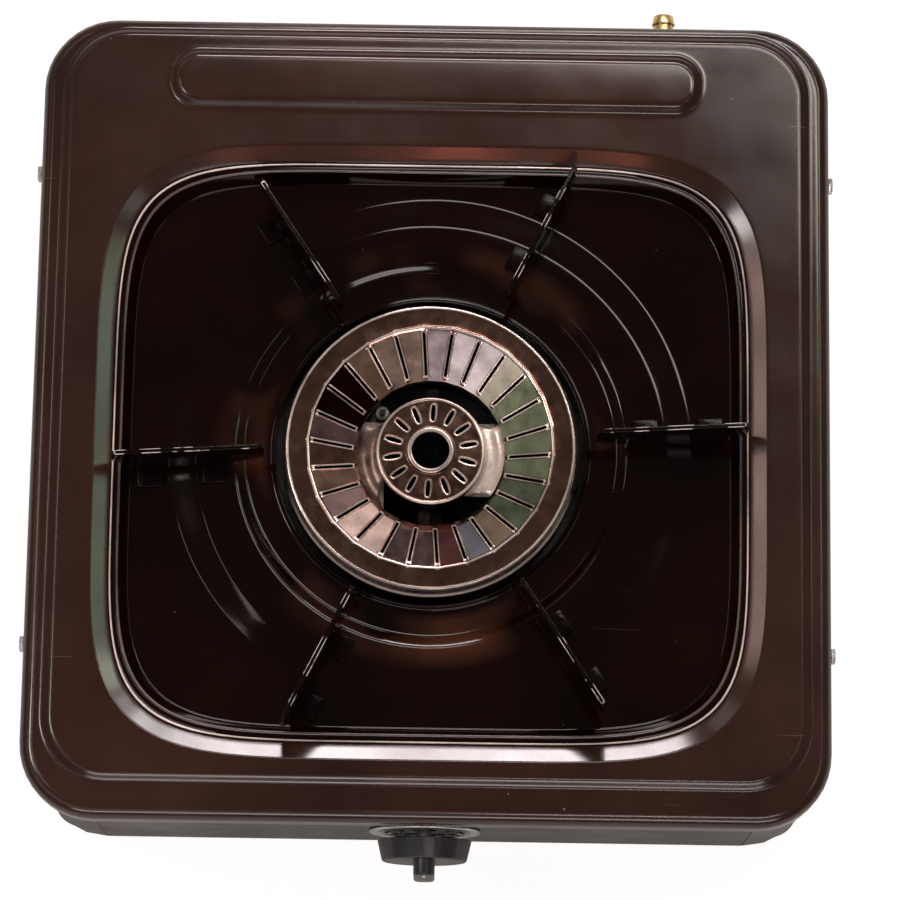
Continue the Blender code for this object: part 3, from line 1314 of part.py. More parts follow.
def make_valve_plug():
    front = PLUG_BORE - GAP
    bm = turned([(0, PLUG_BACK), (front - PLUG_TAPER, PLUG_BACK), (front, PLUG_FRONT), (0, PLUG_FRONT)],
                ROUND_STEPS, ring=False)
    plug = piece_from("valve_plug", bm, BRASS, knob_axis)
    socket = d_prism(bmesh.new(), SPINDLE_RADIUS + GAP, SPINDLE_FLAT + GAP, SOCKET_END,
                     PLUG_FRONT + CUT_OVERRUN)
    combine(plug, socket, "DIFFERENCE")


def make_spindle():
    bm = d_prism(bmesh.new(), SPINDLE_RADIUS, SPINDLE_FLAT, SPINDLE_BACK, SPINDLE_FRONT)
    spindle = piece_from("valve_spindle", bm, BRASS, knob_axis)
    collar = add_turned(bmesh.new(), [(0, COLLAR_BACK), (COLLAR_RADIUS, COLLAR_BACK),
                                      (COLLAR_RADIUS, COLLAR_FRONT), (0, COLLAR_FRONT)],
                        ROUND_STEPS, Matrix.Identity(4))
    combine(spindle, collar, "UNION")


def make_spring():
    low = PLUG_FRONT + GAP + SPRING_WIRE
    high = COLLAR_BACK - GAP - SPRING_WIRE
    count = int(SPRING_TURNS * SPRING_POINTS)
    points = []
    for step in range(count + 1):
        angle = 2 * math.pi * SPRING_TURNS * step / count
        points.append(Vector((SPRING_RADIUS * math.cos(angle), SPRING_RADIUS * math.sin(angle),
                              low + (high - low) * step / count)))
    tube_curve("spindle_spring", points, SPRING_WIRE, 1, STEEL, knob_axis)


def make_knob():
    back = KNOB_BACK
    front = back + KNOB_DEPTH
    inner = KNOB_RADIUS - KNOB_WALL
    roof = front - KNOB_WALL
    bm = turned([(0, back + PLAY), (KNOB_BOSS, back + PLAY), (KNOB_BOSS, roof), (inner, roof),
                 (inner, back), (KNOB_RADIUS, back), (KNOB_FRONT_RADIUS, front - KNOB_EDGE),
                 (KNOB_FRONT_RADIUS - KNOB_EDGE, front), (0, front)], KNOB_STEPS, ring=False)
    knob = piece_from("knob", bm, PLASTIC, knob_axis)
    reach = KNOB_FRONT_RADIUS - KNOB_EDGE
    half = GRIP_WIDTH / 2
    ends = arc((0, reach - half), half, 0, math.pi, CORNER_STEPS)
    ends += [(-x, -y) for x, y in ends]
    grip = bmesh.new()
    face = grip.faces.new([grip.verts.new((x, y, front - KNOB_EDGE)) for x, y in ends])
    made = bmesh.ops.extrude_face_region(grip, geom=[face])["geom"]
    moved = [item for item in made if isinstance(item, bmesh.types.BMVert)]
    bmesh.ops.translate(grip, verts=moved, vec=(0, 0, GRIP_HEIGHT + KNOB_EDGE))
    top_edges = [edge for edge in grip.edges if all(vert in moved for vert in edge.verts)]
    bmesh.ops.bevel(grip, geom=top_edges, offset=GRIP_EDGE, offset_type="OFFSET", segments=2,
                    profile=0.5, affect="EDGES")
    combine(knob, face_out(grip), "UNION")
    socket = d_prism(bmesh.new(), SPINDLE_RADIUS + GAP, SPINDLE_FLAT + GAP, back - CUT_OVERRUN,
                     SPINDLE_FRONT + GAP)
    combine(knob, socket, "DIFFERENCE")


def make_bezel():
    low = GAP
    high = GAP + BEZEL_THICKNESS
    bm = turned([(BEZEL_INNER, low), (BEZEL_RADIUS, low), (BEZEL_RADIUS, high - BEZEL_THICKNESS / 2),
                 (BEZEL_RADIUS - BEZEL_THICKNESS / 2, high), (BEZEL_INNER, high)], KNOB_STEPS)
    piece_from("knob_bezel", bm, STEEL, knob_axis)


def make_injector():
    # Hexagon and nozzle behind the valve; the tip stands in the mixing tube's inlet.
    back = VALVE_BACK - GAP
    tip = SHELL_FRONT - MIXER_REACH + BELL_WALL + JET_ENTRY
    hex_end = back - JET_HEX_LENGTH
    stem_end = VALVE_BACK + JET_STEM_LENGTH - GAP
    bm = bmesh.new()
    face = bm.faces.new([bm.verts.new((x, y, hex_end)) for x, y in hex_outline(JET_HEX)])
    made = bmesh.ops.extrude_face_region(bm, geom=[face])["geom"]
    moved = [item for item in made if isinstance(item, bmesh.types.BMVert)]
    bmesh.ops.translate(bm, verts=moved, vec=(0, 0, JET_HEX_LENGTH))
    jet = piece_from("injector", face_out(bm), BRASS, knob_axis)
    body = add_turned(bmesh.new(), [(0, -tip), (JET_TIP, -tip), (JET_NOZZLE, -tip + JET_NOZZLE - JET_TIP),
                                    (JET_NOZZLE, hex_end + PLAY), (JET_STEM, hex_end + PLAY),
                                    (JET_STEM, stem_end), (0, stem_end)],
                      SMALL_STEPS, Matrix.Identity(4))
    combine(jet, body, "UNION")
    bore = add_turned(bmesh.new(), [(0, -tip - CUT_OVERRUN), (JET_BORE, -tip - CUT_OVERRUN),
                                    (JET_BORE, stem_end + CUT_OVERRUN), (0, stem_end + CUT_OVERRUN)],
                      SCREW_STEPS, Matrix.Identity(4))
    combine(jet, bore, "DIFFERENCE")


# Gas line from the hose nipple to the valve

def make_gas_pipe():
    valve_y = -SHELL_FRONT - (VALVE_FRONT + VALVE_BACK) / 2
    seat_x = VALVE_HALF + INLET_BOSS_LENGTH - PIPE_SEAT + GAP
    rear = SHELL_REAR + GAP - NIPPLE_STEM_LENGTH + PIPE_SEAT - GAP
    centre = (PIPE_PLACE - PIPE_BEND, valve_y + PIPE_BEND)
    points = [(seat_x, valve_y)]
    points += arc(centre, PIPE_BEND, -math.pi / 2, 0, PIPE_BEND_POINTS)
    points.append((PIPE_PLACE, rear))
    route = [Vector((x, y, MIXER_LEVEL)) for x, y in points]
    tube_curve("gas_pipe", route, PIPE_RADIUS, 3, STEEL, stove)


def make_hose_nipple():
    wall = SHELL_REAR + GAP
    flange = wall + NIPPLE_FLANGE_THICKNESS
    stem_end = wall - NIPPLE_STEM_LENGTH
    bore = PIPE_RADIUS + GAP
    profile = [(bore, stem_end), (NIPPLE_STEM, stem_end), (NIPPLE_STEM, wall), (NIPPLE_FLANGE, wall),
               (NIPPLE_FLANGE, flange), (BARB_WAIST, flange), (BARB_WAIST, flange + NIPPLE_SHANK)]
    for barb in range(BARB_COUNT):
        start = flange + NIPPLE_SHANK + barb * BARB_PITCH
        profile.append((BARB_RADIUS, start))
        profile.append((BARB_WAIST, start + BARB_PITCH))
    profile += [(NIPPLE_BORE, flange + NIPPLE_SHANK + BARB_COUNT * BARB_PITCH),
                (NIPPLE_BORE, stem_end + PIPE_SEAT), (bore, stem_end + PIPE_SEAT)]
    bm = turned(profile, SMALL_STEPS)
    bm.transform(along_y(MIXER_LEVEL, PIPE_PLACE))
    piece_from("hose_nipple", bm, BRASS, stove)


def make_nuts():
    inner = SHELL_REAR - SHEET - GAP - NUT_LENGTH
    rear = ring_nut(NUT_RADIUS, NIPPLE_STEM + GAP, NUT_LENGTH)
    rear.transform(Matrix.Translation((0, inner, 0)) @ along_y(MIXER_LEVEL, PIPE_PLACE))
    piece_from("nipple_nut", rear, BRASS, stove)
    front = ring_nut(PIPE_NUT_RADIUS, PIPE_RADIUS + GAP, PIPE_NUT_LENGTH)
    start = VALVE_HALF + INLET_BOSS_LENGTH + GAP
    valve_y = -SHELL_FRONT - (VALVE_FRONT + VALVE_BACK) / 2
    front.transform(Matrix.Translation((start, valve_y, MIXER_LEVEL))
                    @ Matrix.Rotation(math.pi / 2, 4, "Y"))
    piece_from("pipe_nut", front, BRASS, stove)


def ring_nut(radius, bore, length):
    # Hexagon nut with a round bore, standing on the origin.
    bm = bmesh.new()
    hexagon = first_ring(bm, hex_outline(radius), 0)
    inside = first_ring(bm, arc((0, 0), bore, 0, 2 * math.pi * 11 / 12, 11), 0)
    faces = bmesh.ops.triangle_fill(bm, use_beauty=True,
                                    edges=ring_edges(bm, hexagon) + ring_edges(bm, inside))
    made = bmesh.ops.extrude_face_region(
        bm, geom=[item for item in faces["geom"] if isinstance(item, bmesh.types.BMFace)])["geom"]
    moved = [item for item in made if isinstance(item, bmesh.types.BMVert)]
    bmesh.ops.translate(bm, verts=moved, vec=(0, 0, length))
    return face_out(bm)


make_top_cover()
make_cover_screws()
make_body_shell()
make_front_panel()
make_base_plate()
make_feet()
make_foot_screws()
make_drip_tray()
make_support_fins()
make_ring_head()
make_center_cap()
make_burner_body()
make_air_shutter()
make_burner_brackets()
make_burner_screws()
make_electrode()
make_piezo()
make_lead()
make_lead_clip()
make_valve_body()
make_valve_cap()
make_valve_screws()
make_valve_plug()
make_spindle()
make_spring()
make_knob()
make_bezel()
make_injector()
make_gas_pipe()
make_hose_nipple()
make_nuts()
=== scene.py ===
# Gas burner stove: fine pieces, materials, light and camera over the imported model.
from math import acos, asin, atan2, copysign, cos, hypot, pi, radians, sin, tan

import bmesh
import bpy
from mathutils import Matrix, Vector


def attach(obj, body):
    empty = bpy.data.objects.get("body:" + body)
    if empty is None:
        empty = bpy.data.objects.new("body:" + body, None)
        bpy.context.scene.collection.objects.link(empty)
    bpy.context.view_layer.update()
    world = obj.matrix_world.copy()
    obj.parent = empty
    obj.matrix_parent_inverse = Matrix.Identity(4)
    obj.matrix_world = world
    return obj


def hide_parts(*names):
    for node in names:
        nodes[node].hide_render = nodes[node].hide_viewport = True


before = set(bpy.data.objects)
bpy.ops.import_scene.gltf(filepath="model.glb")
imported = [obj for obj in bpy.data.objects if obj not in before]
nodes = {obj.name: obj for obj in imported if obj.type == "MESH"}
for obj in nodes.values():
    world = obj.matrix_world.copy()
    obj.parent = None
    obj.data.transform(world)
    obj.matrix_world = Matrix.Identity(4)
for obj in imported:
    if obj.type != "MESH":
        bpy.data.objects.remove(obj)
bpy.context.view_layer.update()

mm = 0.001
middleShift = -13.85  # from the middle to the burner's axis, along y

# Half widths, reaches and corners of the outlines that several pieces share.
plan = {
    "case": (161, 150, 180, 30), "plateau": (148.3, 131.7, 171, 22), "panel": (109, 13, 12),
    "panelMiddle": 153.1, "well": (134.9, 125.8), "wellPower": 5.6, "wellPoints": 192,
    "crowding": 0.08, "bevelFoot": 6.7}


# Outlines in millimetres, about the burner's axis

def arc(centre, radius, first, last, steps):
    angles = [first + (last - first) * step / steps for step in range(steps + 1)]
    return [(centre[0] + radius * cos(a), centre[1] + radius * sin(a)) for a in angles]


def roundedBox(halfWidth, front, rear, corner, steps=10):
    quarter = pi / 2
    centres = [(halfWidth - corner, rear - corner), (corner - halfWidth, rear - corner),
               (corner - halfWidth, corner - front), (halfWidth - corner, corner - front)]
    points = []
    for turn, centre in enumerate(centres):
        points += arc(centre, corner, turn * quarter, (turn + 1) * quarter, steps)
    return points


def caseOutline(inset):
    return roundedBox(*[value - inset for value in plan["case"]])


def plateauOutline(growth):
    return roundedBox(*[value + growth for value in plan["plateau"]])


def panelOutline(inset):
    halfWidth, half, corner = [value - inset for value in plan["panel"]]
    return [(x, y + plan["panelMiddle"]) for x, y in roundedBox(halfWidth, half, half, corner)]


def wellAngles():
    # The points crowd a little towards the corners.
    count = plan["wellPoints"]
    evens = [2 * pi * (step + 0.5) / count for step in range(count)]
    return [even + plan["crowding"] * sin(4 * even) for even in evens]


def wellOutline(inset):
    halfWidth, halfDepth = plan["well"]
    power = plan["wellPower"]
    points = []
    for angle in wellAngles():
        across = abs(cos(angle)) / (halfWidth - inset)
        along = abs(sin(angle)) / (halfDepth - inset)
        reach = (across ** power + along ** power) ** (-1 / power)
        points.append((reach * cos(angle), reach * sin(angle)))
    return points


def bevelOutline(inset):
    # The bevel keeps one width and one slope round the corners.
    foot = plan["bevelFoot"]
    line = wellOutline(foot)
    points = []
    for place, (x, y) in enumerate(line):
        before, after = line[place - 1], line[(place + 1) % len(line)]
        across, along = after[0] - before[0], after[1] - before[1]
        out = (foot - inset) / hypot(across, along)
        points.append((x + along * out, y - across * out))
    return points


def roundOutline(radius, angles):
    return [(radius * cos(a), radius * sin(a)) for a in angles]


def evenAngles(count):
    return [2 * pi * step / count for step in range(count)]


def within(value, limits):
    return limits[0] < value < limits[1]


# Mesh helpers

def startRing(bm, outline, level):
    ring = [bm.verts.new((x * mm, y * mm, level * mm)) for x, y in outline]
    for place in range(len(ring)):
        bm.edges.new((ring[place - 1], ring[place]))
    return ring


def ringEdges(bm, ring):
    return [bm.edges.get((ring[place - 1], ring[place])) for place in range(len(ring))]


def nextRow(bm, row, points, edges=None):
    made = bmesh.ops.extrude_edge_only(bm, edges=edges or ringEdges(bm, row))["geom"]
    fresh = {item for item in made if isinstance(item, bmesh.types.BMVert)}
    copies = []
    for corner, point in zip(row, points):
        copy = next(edge.other_vert(corner) for edge in corner.link_edges
                    if edge.other_vert(corner) in fresh)
        copy.co = [value * mm for value in point]
        copies.append(copy)
    return copies


def nextRing(bm, ring, outline, level):
    return nextRow(bm, ring, [(x, y, level) for x, y in outline])


def loft(bm, ring, outlineOf, stations, finish=0):
    before = len(bm.faces)
    for inset, level in stations:
        ring = nextRing(bm, ring, outlineOf(inset), level)
    for face in bm.faces[:][before:]:
        face.material_index = finish
    return ring


def turnOut(bm):
    bmesh.ops.recalc_face_normals(bm, faces=bm.faces)


def fill(bm, edges):
    bmesh.ops.triangle_fill(bm, use_beauty=True, edges=edges)


def upward(bm):
    turnOut(bm)
    biggest = max(bm.faces, key=lambda face: face.calc_area())
    if biggest.normal.z < 0:
        bmesh.ops.reverse_faces(bm, faces=bm.faces)


def spun(profile, steps, closed=True):
    bm = bmesh.new()
    points = [bm.verts.new((r * mm, 0, z * mm)) for r, z in profile]
    lines = [bm.edges.new(pair) for pair in zip(points, points[1:])]
    if closed:
        lines.append(bm.edges.new((points[-1], points[0])))
    bmesh.ops.spin(bm, geom=points + lines, cent=(0, 0, 0), axis=(0, 0, 1),
                   angle=2 * pi, steps=steps, use_merge=True)
    bmesh.ops.remove_doubles(bm, verts=bm.verts, dist=0.000001)
    turnOut(bm)
    return bm


def linked(name, data):
    made = bpy.data.objects.new(name, data)
    bpy.context.scene.collection.objects.link(made)
    return made


def addInto(bm, other):
    spare = bpy.data.meshes.new("spare")
    other.to_mesh(spare)
    other.free()
    bm.from_mesh(spare)
    bpy.data.meshes.remove(spare)


def makePiece(name, bm, materials, body, replaced, sharp=35):
    bmesh.ops.translate(bm, verts=bm.verts, vec=(0, middleShift * mm, 0))
    mesh = bpy.data.meshes.new(name)
    bm.to_mesh(mesh)
    bm.free()
    mesh.shade_smooth()
    mesh.set_sharp_from_angle(angle=radians(sharp))
    for material in materials:
        mesh.materials.append(finish[material])
    piece = linked(name, mesh)
    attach(piece, body)
    if replaced:
        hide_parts(*replaced)
    return piece


def thicken(piece, thickness):
    wall = piece.modifiers.new("sheet", "SOLIDIFY")
    wall.thickness = thickness * mm
    wall.offset = -1
    wall.use_even_offset = True


def roundEdges(piece, width, segments, angle):
    edge = piece.modifiers.new("edge", "BEVEL")
    edge.width = width * mm
    edge.segments = segments
    edge.limit_method = "ANGLE"
    edge.angle_limit = radians(angle)
    edge.harden_normals = True


# Materials: limits, scales and strengths that the surfaces share

texture = {
    "mottle": (0.32, 0.68), "gloss": (0.35, 0.65), "glossScale": 2.3, "turns": (0.4, -1.1),
    "stretch": (14, 900, 14), "lines": (0.74, 0.8), "linePatches": (22, 0.56, 0.68),
    "speckSize": 0.05, "speckShare": (0.8, 0.85), "marks": 0.5, "markRough": 0.2,
    # The stain patches serve the real stains on the ring's rim and the tray's painted sheen; the
    # chips lay out the fins' painted glints.
    "stain": (17, 0.46, 0.66), "chips": (0.54, 0.6)}


def setInputs(tree, node, inputs):
    for key, value in inputs.items():
        if isinstance(value, bpy.types.NodeSocket):
            tree.links.new(value, node.inputs[key])
        else:
            node.inputs[key].default_value = value


def addNode(tree, kind, settings=None, inputs=None):
    made = tree.nodes.new("ShaderNode" + kind)
    for key, value in (settings or {}).items():
        setattr(made, key, value)
    setInputs(tree, made, inputs or {})
    return made


def noise(tree, place, scale, detail=4, rough=0.55):
    return addNode(tree, "TexNoise", None, {"Vector": place, "Scale": scale, "Detail": detail,
                                            "Roughness": rough}).outputs["Fac"]


def spread(tree, value, low, high, toLow=0, toHigh=1):
    return addNode(tree, "MapRange", None, {"Value": value, "From Min": low, "From Max": high,
                                            "To Min": toLow, "To Max": toHigh}).outputs[0]


def mixed(tree, share, first, second):
    return addNode(tree, "Mix", {"data_type": "RGBA"}, {0: share, 6: first, 7: second}).outputs[2]


def combined(tree, operation, first, second):
    return addNode(tree, "Math", {"operation": operation}, {0: first, 1: second}).outputs[0]


def times(tree, first, second):
    return combined(tree, "MULTIPLY", first, second)


def opaque(colour):
    return (*colour, 1)


def startMaterial(name):
    material = bpy.data.materials.new(name)
    material.use_nodes = True
    tree = material.node_tree
    shader = tree.nodes["Principled BSDF"]
    place = addNode(tree, "TexCoord").outputs["Object"]
    return material, tree, shader, place


def setShader(tree, shader, look, colour, rough, grain):
    bump = addNode(tree, "Bump", None, {"Strength": look["bump"], "Distance": look["depth"] * mm,
                                        "Height": grain})
    setInputs(tree, shader, {
        "Base Color": colour, "Roughness": rough, "Metallic": look.get("metallic", 0),
        "Specular IOR Level": look.get("specular", 0.5), "Normal": bump.outputs[0]})


def scratches(tree, place, turn, amount):
    turned = addNode(tree, "Mapping", None, {"Vector": place, "Rotation": (0, 0, turn),
                                             "Scale": texture["stretch"]}).outputs[0]
    lines = noise(tree, turned, 1, 2)
    scale, low, high = texture["linePatches"]
    patches = noise(tree, place, scale, 2)
    thin = spread(tree, lines, *[limit - amount for limit in texture["lines"]])
    return times(tree, thin, spread(tree, patches, low, high))


def specks(tree, place, scale, size):
    cells = addNode(tree, "TexVoronoi", None, {"Vector": place, "Scale": scale, "Randomness": 1})
    dots = spread(tree, cells.outputs["Distance"], size, size * 0.5)
    chance = addNode(tree, "SeparateColor", None, {"Color": cells.outputs["Color"]}).outputs[0]
    return times(tree, dots, spread(tree, chance, *texture["speckShare"]))


def fromAxis(tree, place):
    centred = addNode(tree, "Mapping", None,
                      {"Vector": place, "Location": (0, -middleShift * mm, 0)}).outputs[0]
    apart = addNode(tree, "SeparateXYZ", None, {"Vector": centred})
    flat = addNode(tree, "CombineXYZ", None, {"X": apart.outputs[0], "Y": apart.outputs[1]})
    reach = addNode(tree, "VectorMath", {"operation": "LENGTH"}, {0: flat.outputs[0]})
    return centred, apart, reach.outputs["Value"]


def surfaceMaterial(name, look):
    material, tree, shader, place = startMaterial(name)
    mottle = spread(tree, noise(tree, place, look["mottle"], 6, 0.62), *texture["mottle"])
    colour = mixed(tree, mottle, opaque(look["dark"]), opaque(look["light"]))
    gloss = noise(tree, place, look["mottle"] * texture["glossScale"])
    rough = spread(tree, gloss, *texture["gloss"], *look["rough"])
    if look.get("worn"):
        lines = combined(tree, "MAXIMUM", *[scratches(tree, place, turn, look["worn"])
                                            for turn in texture["turns"]])
        dots = specks(tree, place, look["speckScale"], texture["speckSize"])
        marks = combined(tree, "MAXIMUM", lines, dots)
        share = times(tree, marks, texture["marks"])
        colour = mixed(tree, share, colour, opaque(look["mark"]))
        rougher = times(tree, marks, texture["markRough"])
        rough = combined(tree, "ADD", rough, rougher)
    if look.get("band"):
        # Brown patches on the tray's raised ring: a painted sheen, put into the colour where the
        # ring's glossy slopes catch light.
        start, full, ebb, end = look["band"]
        reach = fromAxis(tree, place)[2]
        share = times(tree, spread(tree, reach, start, full), spread(tree, reach, end, ebb))
        scale, low, high = texture["stain"]
        patches = spread(tree, noise(tree, place, scale, 2), low, high)
        colour = mixed(tree, times(tree, share, patches), colour, opaque(look["burnt"]))
    if look.get("fade"):
        # Another colour past a height or along an axis: painted shade low in the burner casting,
        # painted glints on the fins' top edges and a painted highlight on the front of the trough
        # lip.
        height = addNode(tree, "SeparateXYZ", None, {"Vector": place})
        height = height.outputs[look.get("axis", "Z")]
        share = spread(tree, height, *look["fade"])
        if look.get("until"):
            share = times(tree, share, spread(tree, height, *look["until"]))
        if look.get("patches"):
            chips = spread(tree, noise(tree, place, look["patches"], 3), *texture["chips"])
            share = times(tree, share, chips)
        colour = mixed(tree, share, colour, opaque(look["faded"]))
    setShader(tree, shader, look, colour, rough, noise(tree, place, look["grain"], 3))
    return material


enamel = {
    "dark": (0.013, 0.004, 0.0022), "light": (0.036, 0.0125, 0.0075), "mottle": 11,
    "rough": (0.13, 0.2), "grain": 120, "bump": 0.22, "depth": 0.05, "worn": 0.02,
    "speckScale": 90, "mark": (0.32, 0.26, 0.23)}
# The tray paints a brown sheen on its raised ring, between about 66 and 89 mm from the axis.
trayEnamel = {
    "dark": (0.003, 0.0005, 0.0002), "light": (0.0075, 0.0014, 0.0006), "mottle": 14,
    "rough": (0.05, 0.09), "grain": 70, "bump": 0.14, "depth": 0.06, "specular": 0.2,
    "worn": 0.01, "speckScale": 110, "mark": (0.16, 0.11, 0.1),
    "band": (0.0655, 0.069, 0.08, 0.089), "burnt": (0.05, 0.0175, 0.0095)}
# The fins' top edges get pale broken dashes: painted glints.
finEnamel = {
    "dark": (0.0026, 0.0008, 0.0006), "light": (0.006, 0.0022, 0.0016), "mottle": 160,
    "rough": (0.1, 0.24), "grain": 380, "bump": 0.6, "depth": 0.2, "specular": 0.12,
    "fade": (0.11252, 0.11262), "until": (0.11297, 0.1129), "patches": 95,
    "faded": (0.86, 0.78, 0.74)}
# Below about 80 mm the burner casting turns near black: painted shade inside the burner.
castMetal = {
    "dark": (0.09, 0.066, 0.056), "light": (0.28, 0.22, 0.19), "mottle": 130,
    "rough": (0.24, 0.42), "grain": 700, "bump": 0.6, "depth": 0.12, "metallic": 1,
    "fade": (0.0815, 0.078), "faded": (0.02, 0.014, 0.012)}
# Plain finishes: the values stand in the order of plainKeys.
plainKeys = ("dark", "light", "mottle", "rough", "grain", "bump", "depth", "metallic")
plainLooks = {
    # The next finish is a painted highlight along the tray's hem.
    "wornHem": ((0.05, 0.032, 0.026), (0.9, 0.76, 0.7), 13, (0.25, 0.4), 400, 0.3, 0.05, 0.35),
    "trayRim": ((0.006, 0.003, 0.0025), (0.13, 0.095, 0.085), 12, (0.12, 0.25), 300, 0.3, 0.05, 0),
    "casePaint": ((0.02, 0.014, 0.012), (0.032, 0.024, 0.021), 12, (0.34, 0.46),
        900, 0.35, 0.05, 0),
    "zincSheet": ((0.4, 0.41, 0.42), (0.62, 0.63, 0.64), 55, (0.3, 0.46), 500, 0.2, 0.04, 1),
    "brass": ((0.56, 0.38, 0.15), (0.78, 0.58, 0.28), 160, (0.24, 0.38), 800, 0.2, 0.03, 1),
    "screwSteel": ((0.42, 0.42, 0.42), (0.62, 0.61, 0.6), 220, (0.22, 0.36), 900, 0.2, 0.03, 1),
    "footRubber": ((0.014, 0.014, 0.015), (0.026, 0.026, 0.027), 180, (0.7, 0.88),
        1500, 0.5, 0.08, 0),
    "knobPlastic": ((0.012, 0.012, 0.013), (0.02, 0.02, 0.021), 40, (0.3, 0.4),
        1800, 0.3, 0.03, 0),
    # The next finish paints the insulator near black, as the shade in the gap between cap and ring.
    "ceramic": ((0.02, 0.016, 0.014), (0.07, 0.058, 0.05), 120, (0.32, 0.52), 900, 0.2, 0.03, 0),
    "knobMark": ((0.55, 0.53, 0.5), (0.72, 0.7, 0.67), 60, (0.35, 0.5), 900, 0.2, 0.03, 0),
    "leadSilicone": ((0.36, 0.035, 0.022), (0.48, 0.06, 0.04), 90, (0.42, 0.58),
        900, 0.2, 0.03, 0),
    "brownBurnerMetal": ((0.1, 0.05, 0.035), (0.22, 0.13, 0.1), 90, (0.14, 0.28),
        500, 0.35, 0.06, 1),
    # The next finish paints a highlight on the edges of the ring head and centre cap; the trough
    # lip's finish is built on it.
    "wornEdge": ((0.28, 0.2, 0.17), (0.95, 0.82, 0.76), 30, (0.14, 0.26), 900, 0.3, 0.04, 0.6),
    # The next finish paints the right arm lit; its darker copy below paints the left arm in shade.
    "castArm": ((0.6, 0.46, 0.4), (0.88, 0.75, 0.68), 90, (0.22, 0.36), 260, 0.5, 0.15, 0.45)}

# Colours of the facets, from the left side round the front: painted reflections of the
# surroundings, one colour set for each facet.
ringLook = {
    "slots": 26, "phase": 0.26, "rough": (0.09, 0.18), "rim": (0.27, 0.145, 0.105),
    "stain": (0.12, 0.06, 0.046), "polish": (0.46, 0.3, 0.25), "wall": (0.02, 0.013, 0.011),
    "rimRadii": (0.049, 0.0494), "wallRadii": (0.0574, 0.0578), "wallLevels": (0.0966, 0.096),
    "grime": (120, 0.6, 1.3), "stainPatches": (55, 0.65, 0.42, 0.66, 0.75),
    "polishPatches": (38, 0.7, 0.56, 0.72, 0.8), "patchLimits": (0.3, 0.7), "glossScale": 240,
    "brushed": (300, 40, 300), "bump": 0.35, "depth": 0.05, "metallic": 1,
    "tints": {"umber": (0.3, 0.14, 0.11), "brown": (0.64, 0.37, 0.27),
        "slate": (0.3, 0.19, 0.18), "rose": (0.8, 0.57, 0.49), "plum": (0.14, 0.05, 0.045),
        "blue": (0.21, 0.19, 0.215), "amber": (0.31, 0.21, 0.14),
        "darkGreen": (0.155, 0.175, 0.115), "green": (0.26, 0.27, 0.17),
        "straw": (0.59, 0.52, 0.39), "pearl": (0.76, 0.63, 0.6), "lilac": (0.52, 0.39, 0.4),
        "copper": (0.36, 0.235, 0.185), "soot": (0.032, 0.008, 0.008),
        "violet": (0.43, 0.25, 0.24)},
    "facets": ["umber", "brown", "slate", "rose", "rose", "slate", "slate", "plum", "blue",
        "amber", "darkGreen", "darkGreen", "green", "green", "green", "green", "straw", "pearl",
        "pearl", "lilac", "copper", "copper", "brown", "soot", "soot", "violet"]}


def ringMaterial(name, look):
    # The painted reflections change from facet to facet, so the angle is first rounded to the
    # facet's middle.
    material, tree, shader, place = startMaterial(name)
    centred, apart, reach = fromAxis(tree, place)
    turn = addNode(tree, "TexGradient", {"gradient_type": "RADIAL"}, {"Vector": centred})
    step = times(tree, turn.outputs["Fac"], look["slots"])
    facet = combined(tree, "FLOOR", combined(tree, "ADD", step, 0.5 - look["phase"]), 0)
    around = combined(tree, "MODULO", facet, look["slots"])
    middle = combined(tree, "DIVIDE", combined(tree, "ADD", around, 0.5), look["slots"])
    tints = addNode(tree, "ValToRGB", None, {"Fac": middle})
    tints.color_ramp.interpolation = "CONSTANT"
    stops = tints.color_ramp.elements
    while len(stops) < len(look["facets"]):
        stops.new(0.5)
    for number, tint in enumerate(look["facets"]):
        stops[number].position = number / look["slots"]
        stops[number].color = opaque(look["tints"][tint])
    scale, low, high = look["grime"]
    grime = spread(tree, noise(tree, place, scale, 5), *look["patchLimits"], low, high)
    tinted = addNode(tree, "VectorMath", {"operation": "SCALE"},
                     {0: tints.outputs[0], "Scale": grime}).outputs[0]
    onRim = spread(tree, reach, *look["rimRadii"])
    rim = opaque(look["rim"])
    for tint in ("stain", "polish"):
        scale, rough, low, high, strength = look[tint + "Patches"]
        patches = spread(tree, noise(tree, place, scale, 6, rough), low, high)
        rim = mixed(tree, times(tree, patches, strength), rim, opaque(look[tint]))
    colour = mixed(tree, onRim, tinted, rim)
    onWall = times(tree, spread(tree, reach, *look["wallRadii"]),
                   spread(tree, apart.outputs["Z"], *look["wallLevels"]))
    colour = mixed(tree, onWall, colour, opaque(look["wall"]))
    gloss = noise(tree, place, look["glossScale"])
    rough = spread(tree, gloss, *look["patchLimits"], *look["rough"])
    lines = addNode(tree, "Mapping", None, {"Vector": place, "Scale": look["brushed"]}).outputs[0]
    setShader(tree, shader, look, colour, rough, noise(tree, lines, 1, 3))
    return material


looks = {name: dict(zip(plainKeys, values)) for name, values in plainLooks.items()}
looks.update(brownEnamel=enamel, blackEnamel=trayEnamel, finEnamel=finEnamel, castMetal=castMetal)
# The left arm: the same cast finish, darker, as painted shade.
looks["castArmDark"] = dict(looks["castArm"], dark=(0.07, 0.042, 0.032),
                            light=(0.29, 0.205, 0.17), metallic=0.8)
# The trough lip is dark, with a pale front part beyond y = -30 mm: painted highlight.
looks["troughLip"] = dict(looks["wornEdge"], dark=(0.012, 0.008, 0.007),
                          light=(0.03, 0.022, 0.019), axis="Y", fade=(-0.03, -0.05),
                          faded=(0.8, 0.66, 0.6))
finish = {name: surfaceMaterial(name, look) for name, look in looks.items()}
finish["polishedRing"] = ringMaterial("polishedRing", ringLook)
print("materials made")


# Top cover: one pressed sheet, in pairs of inset and level

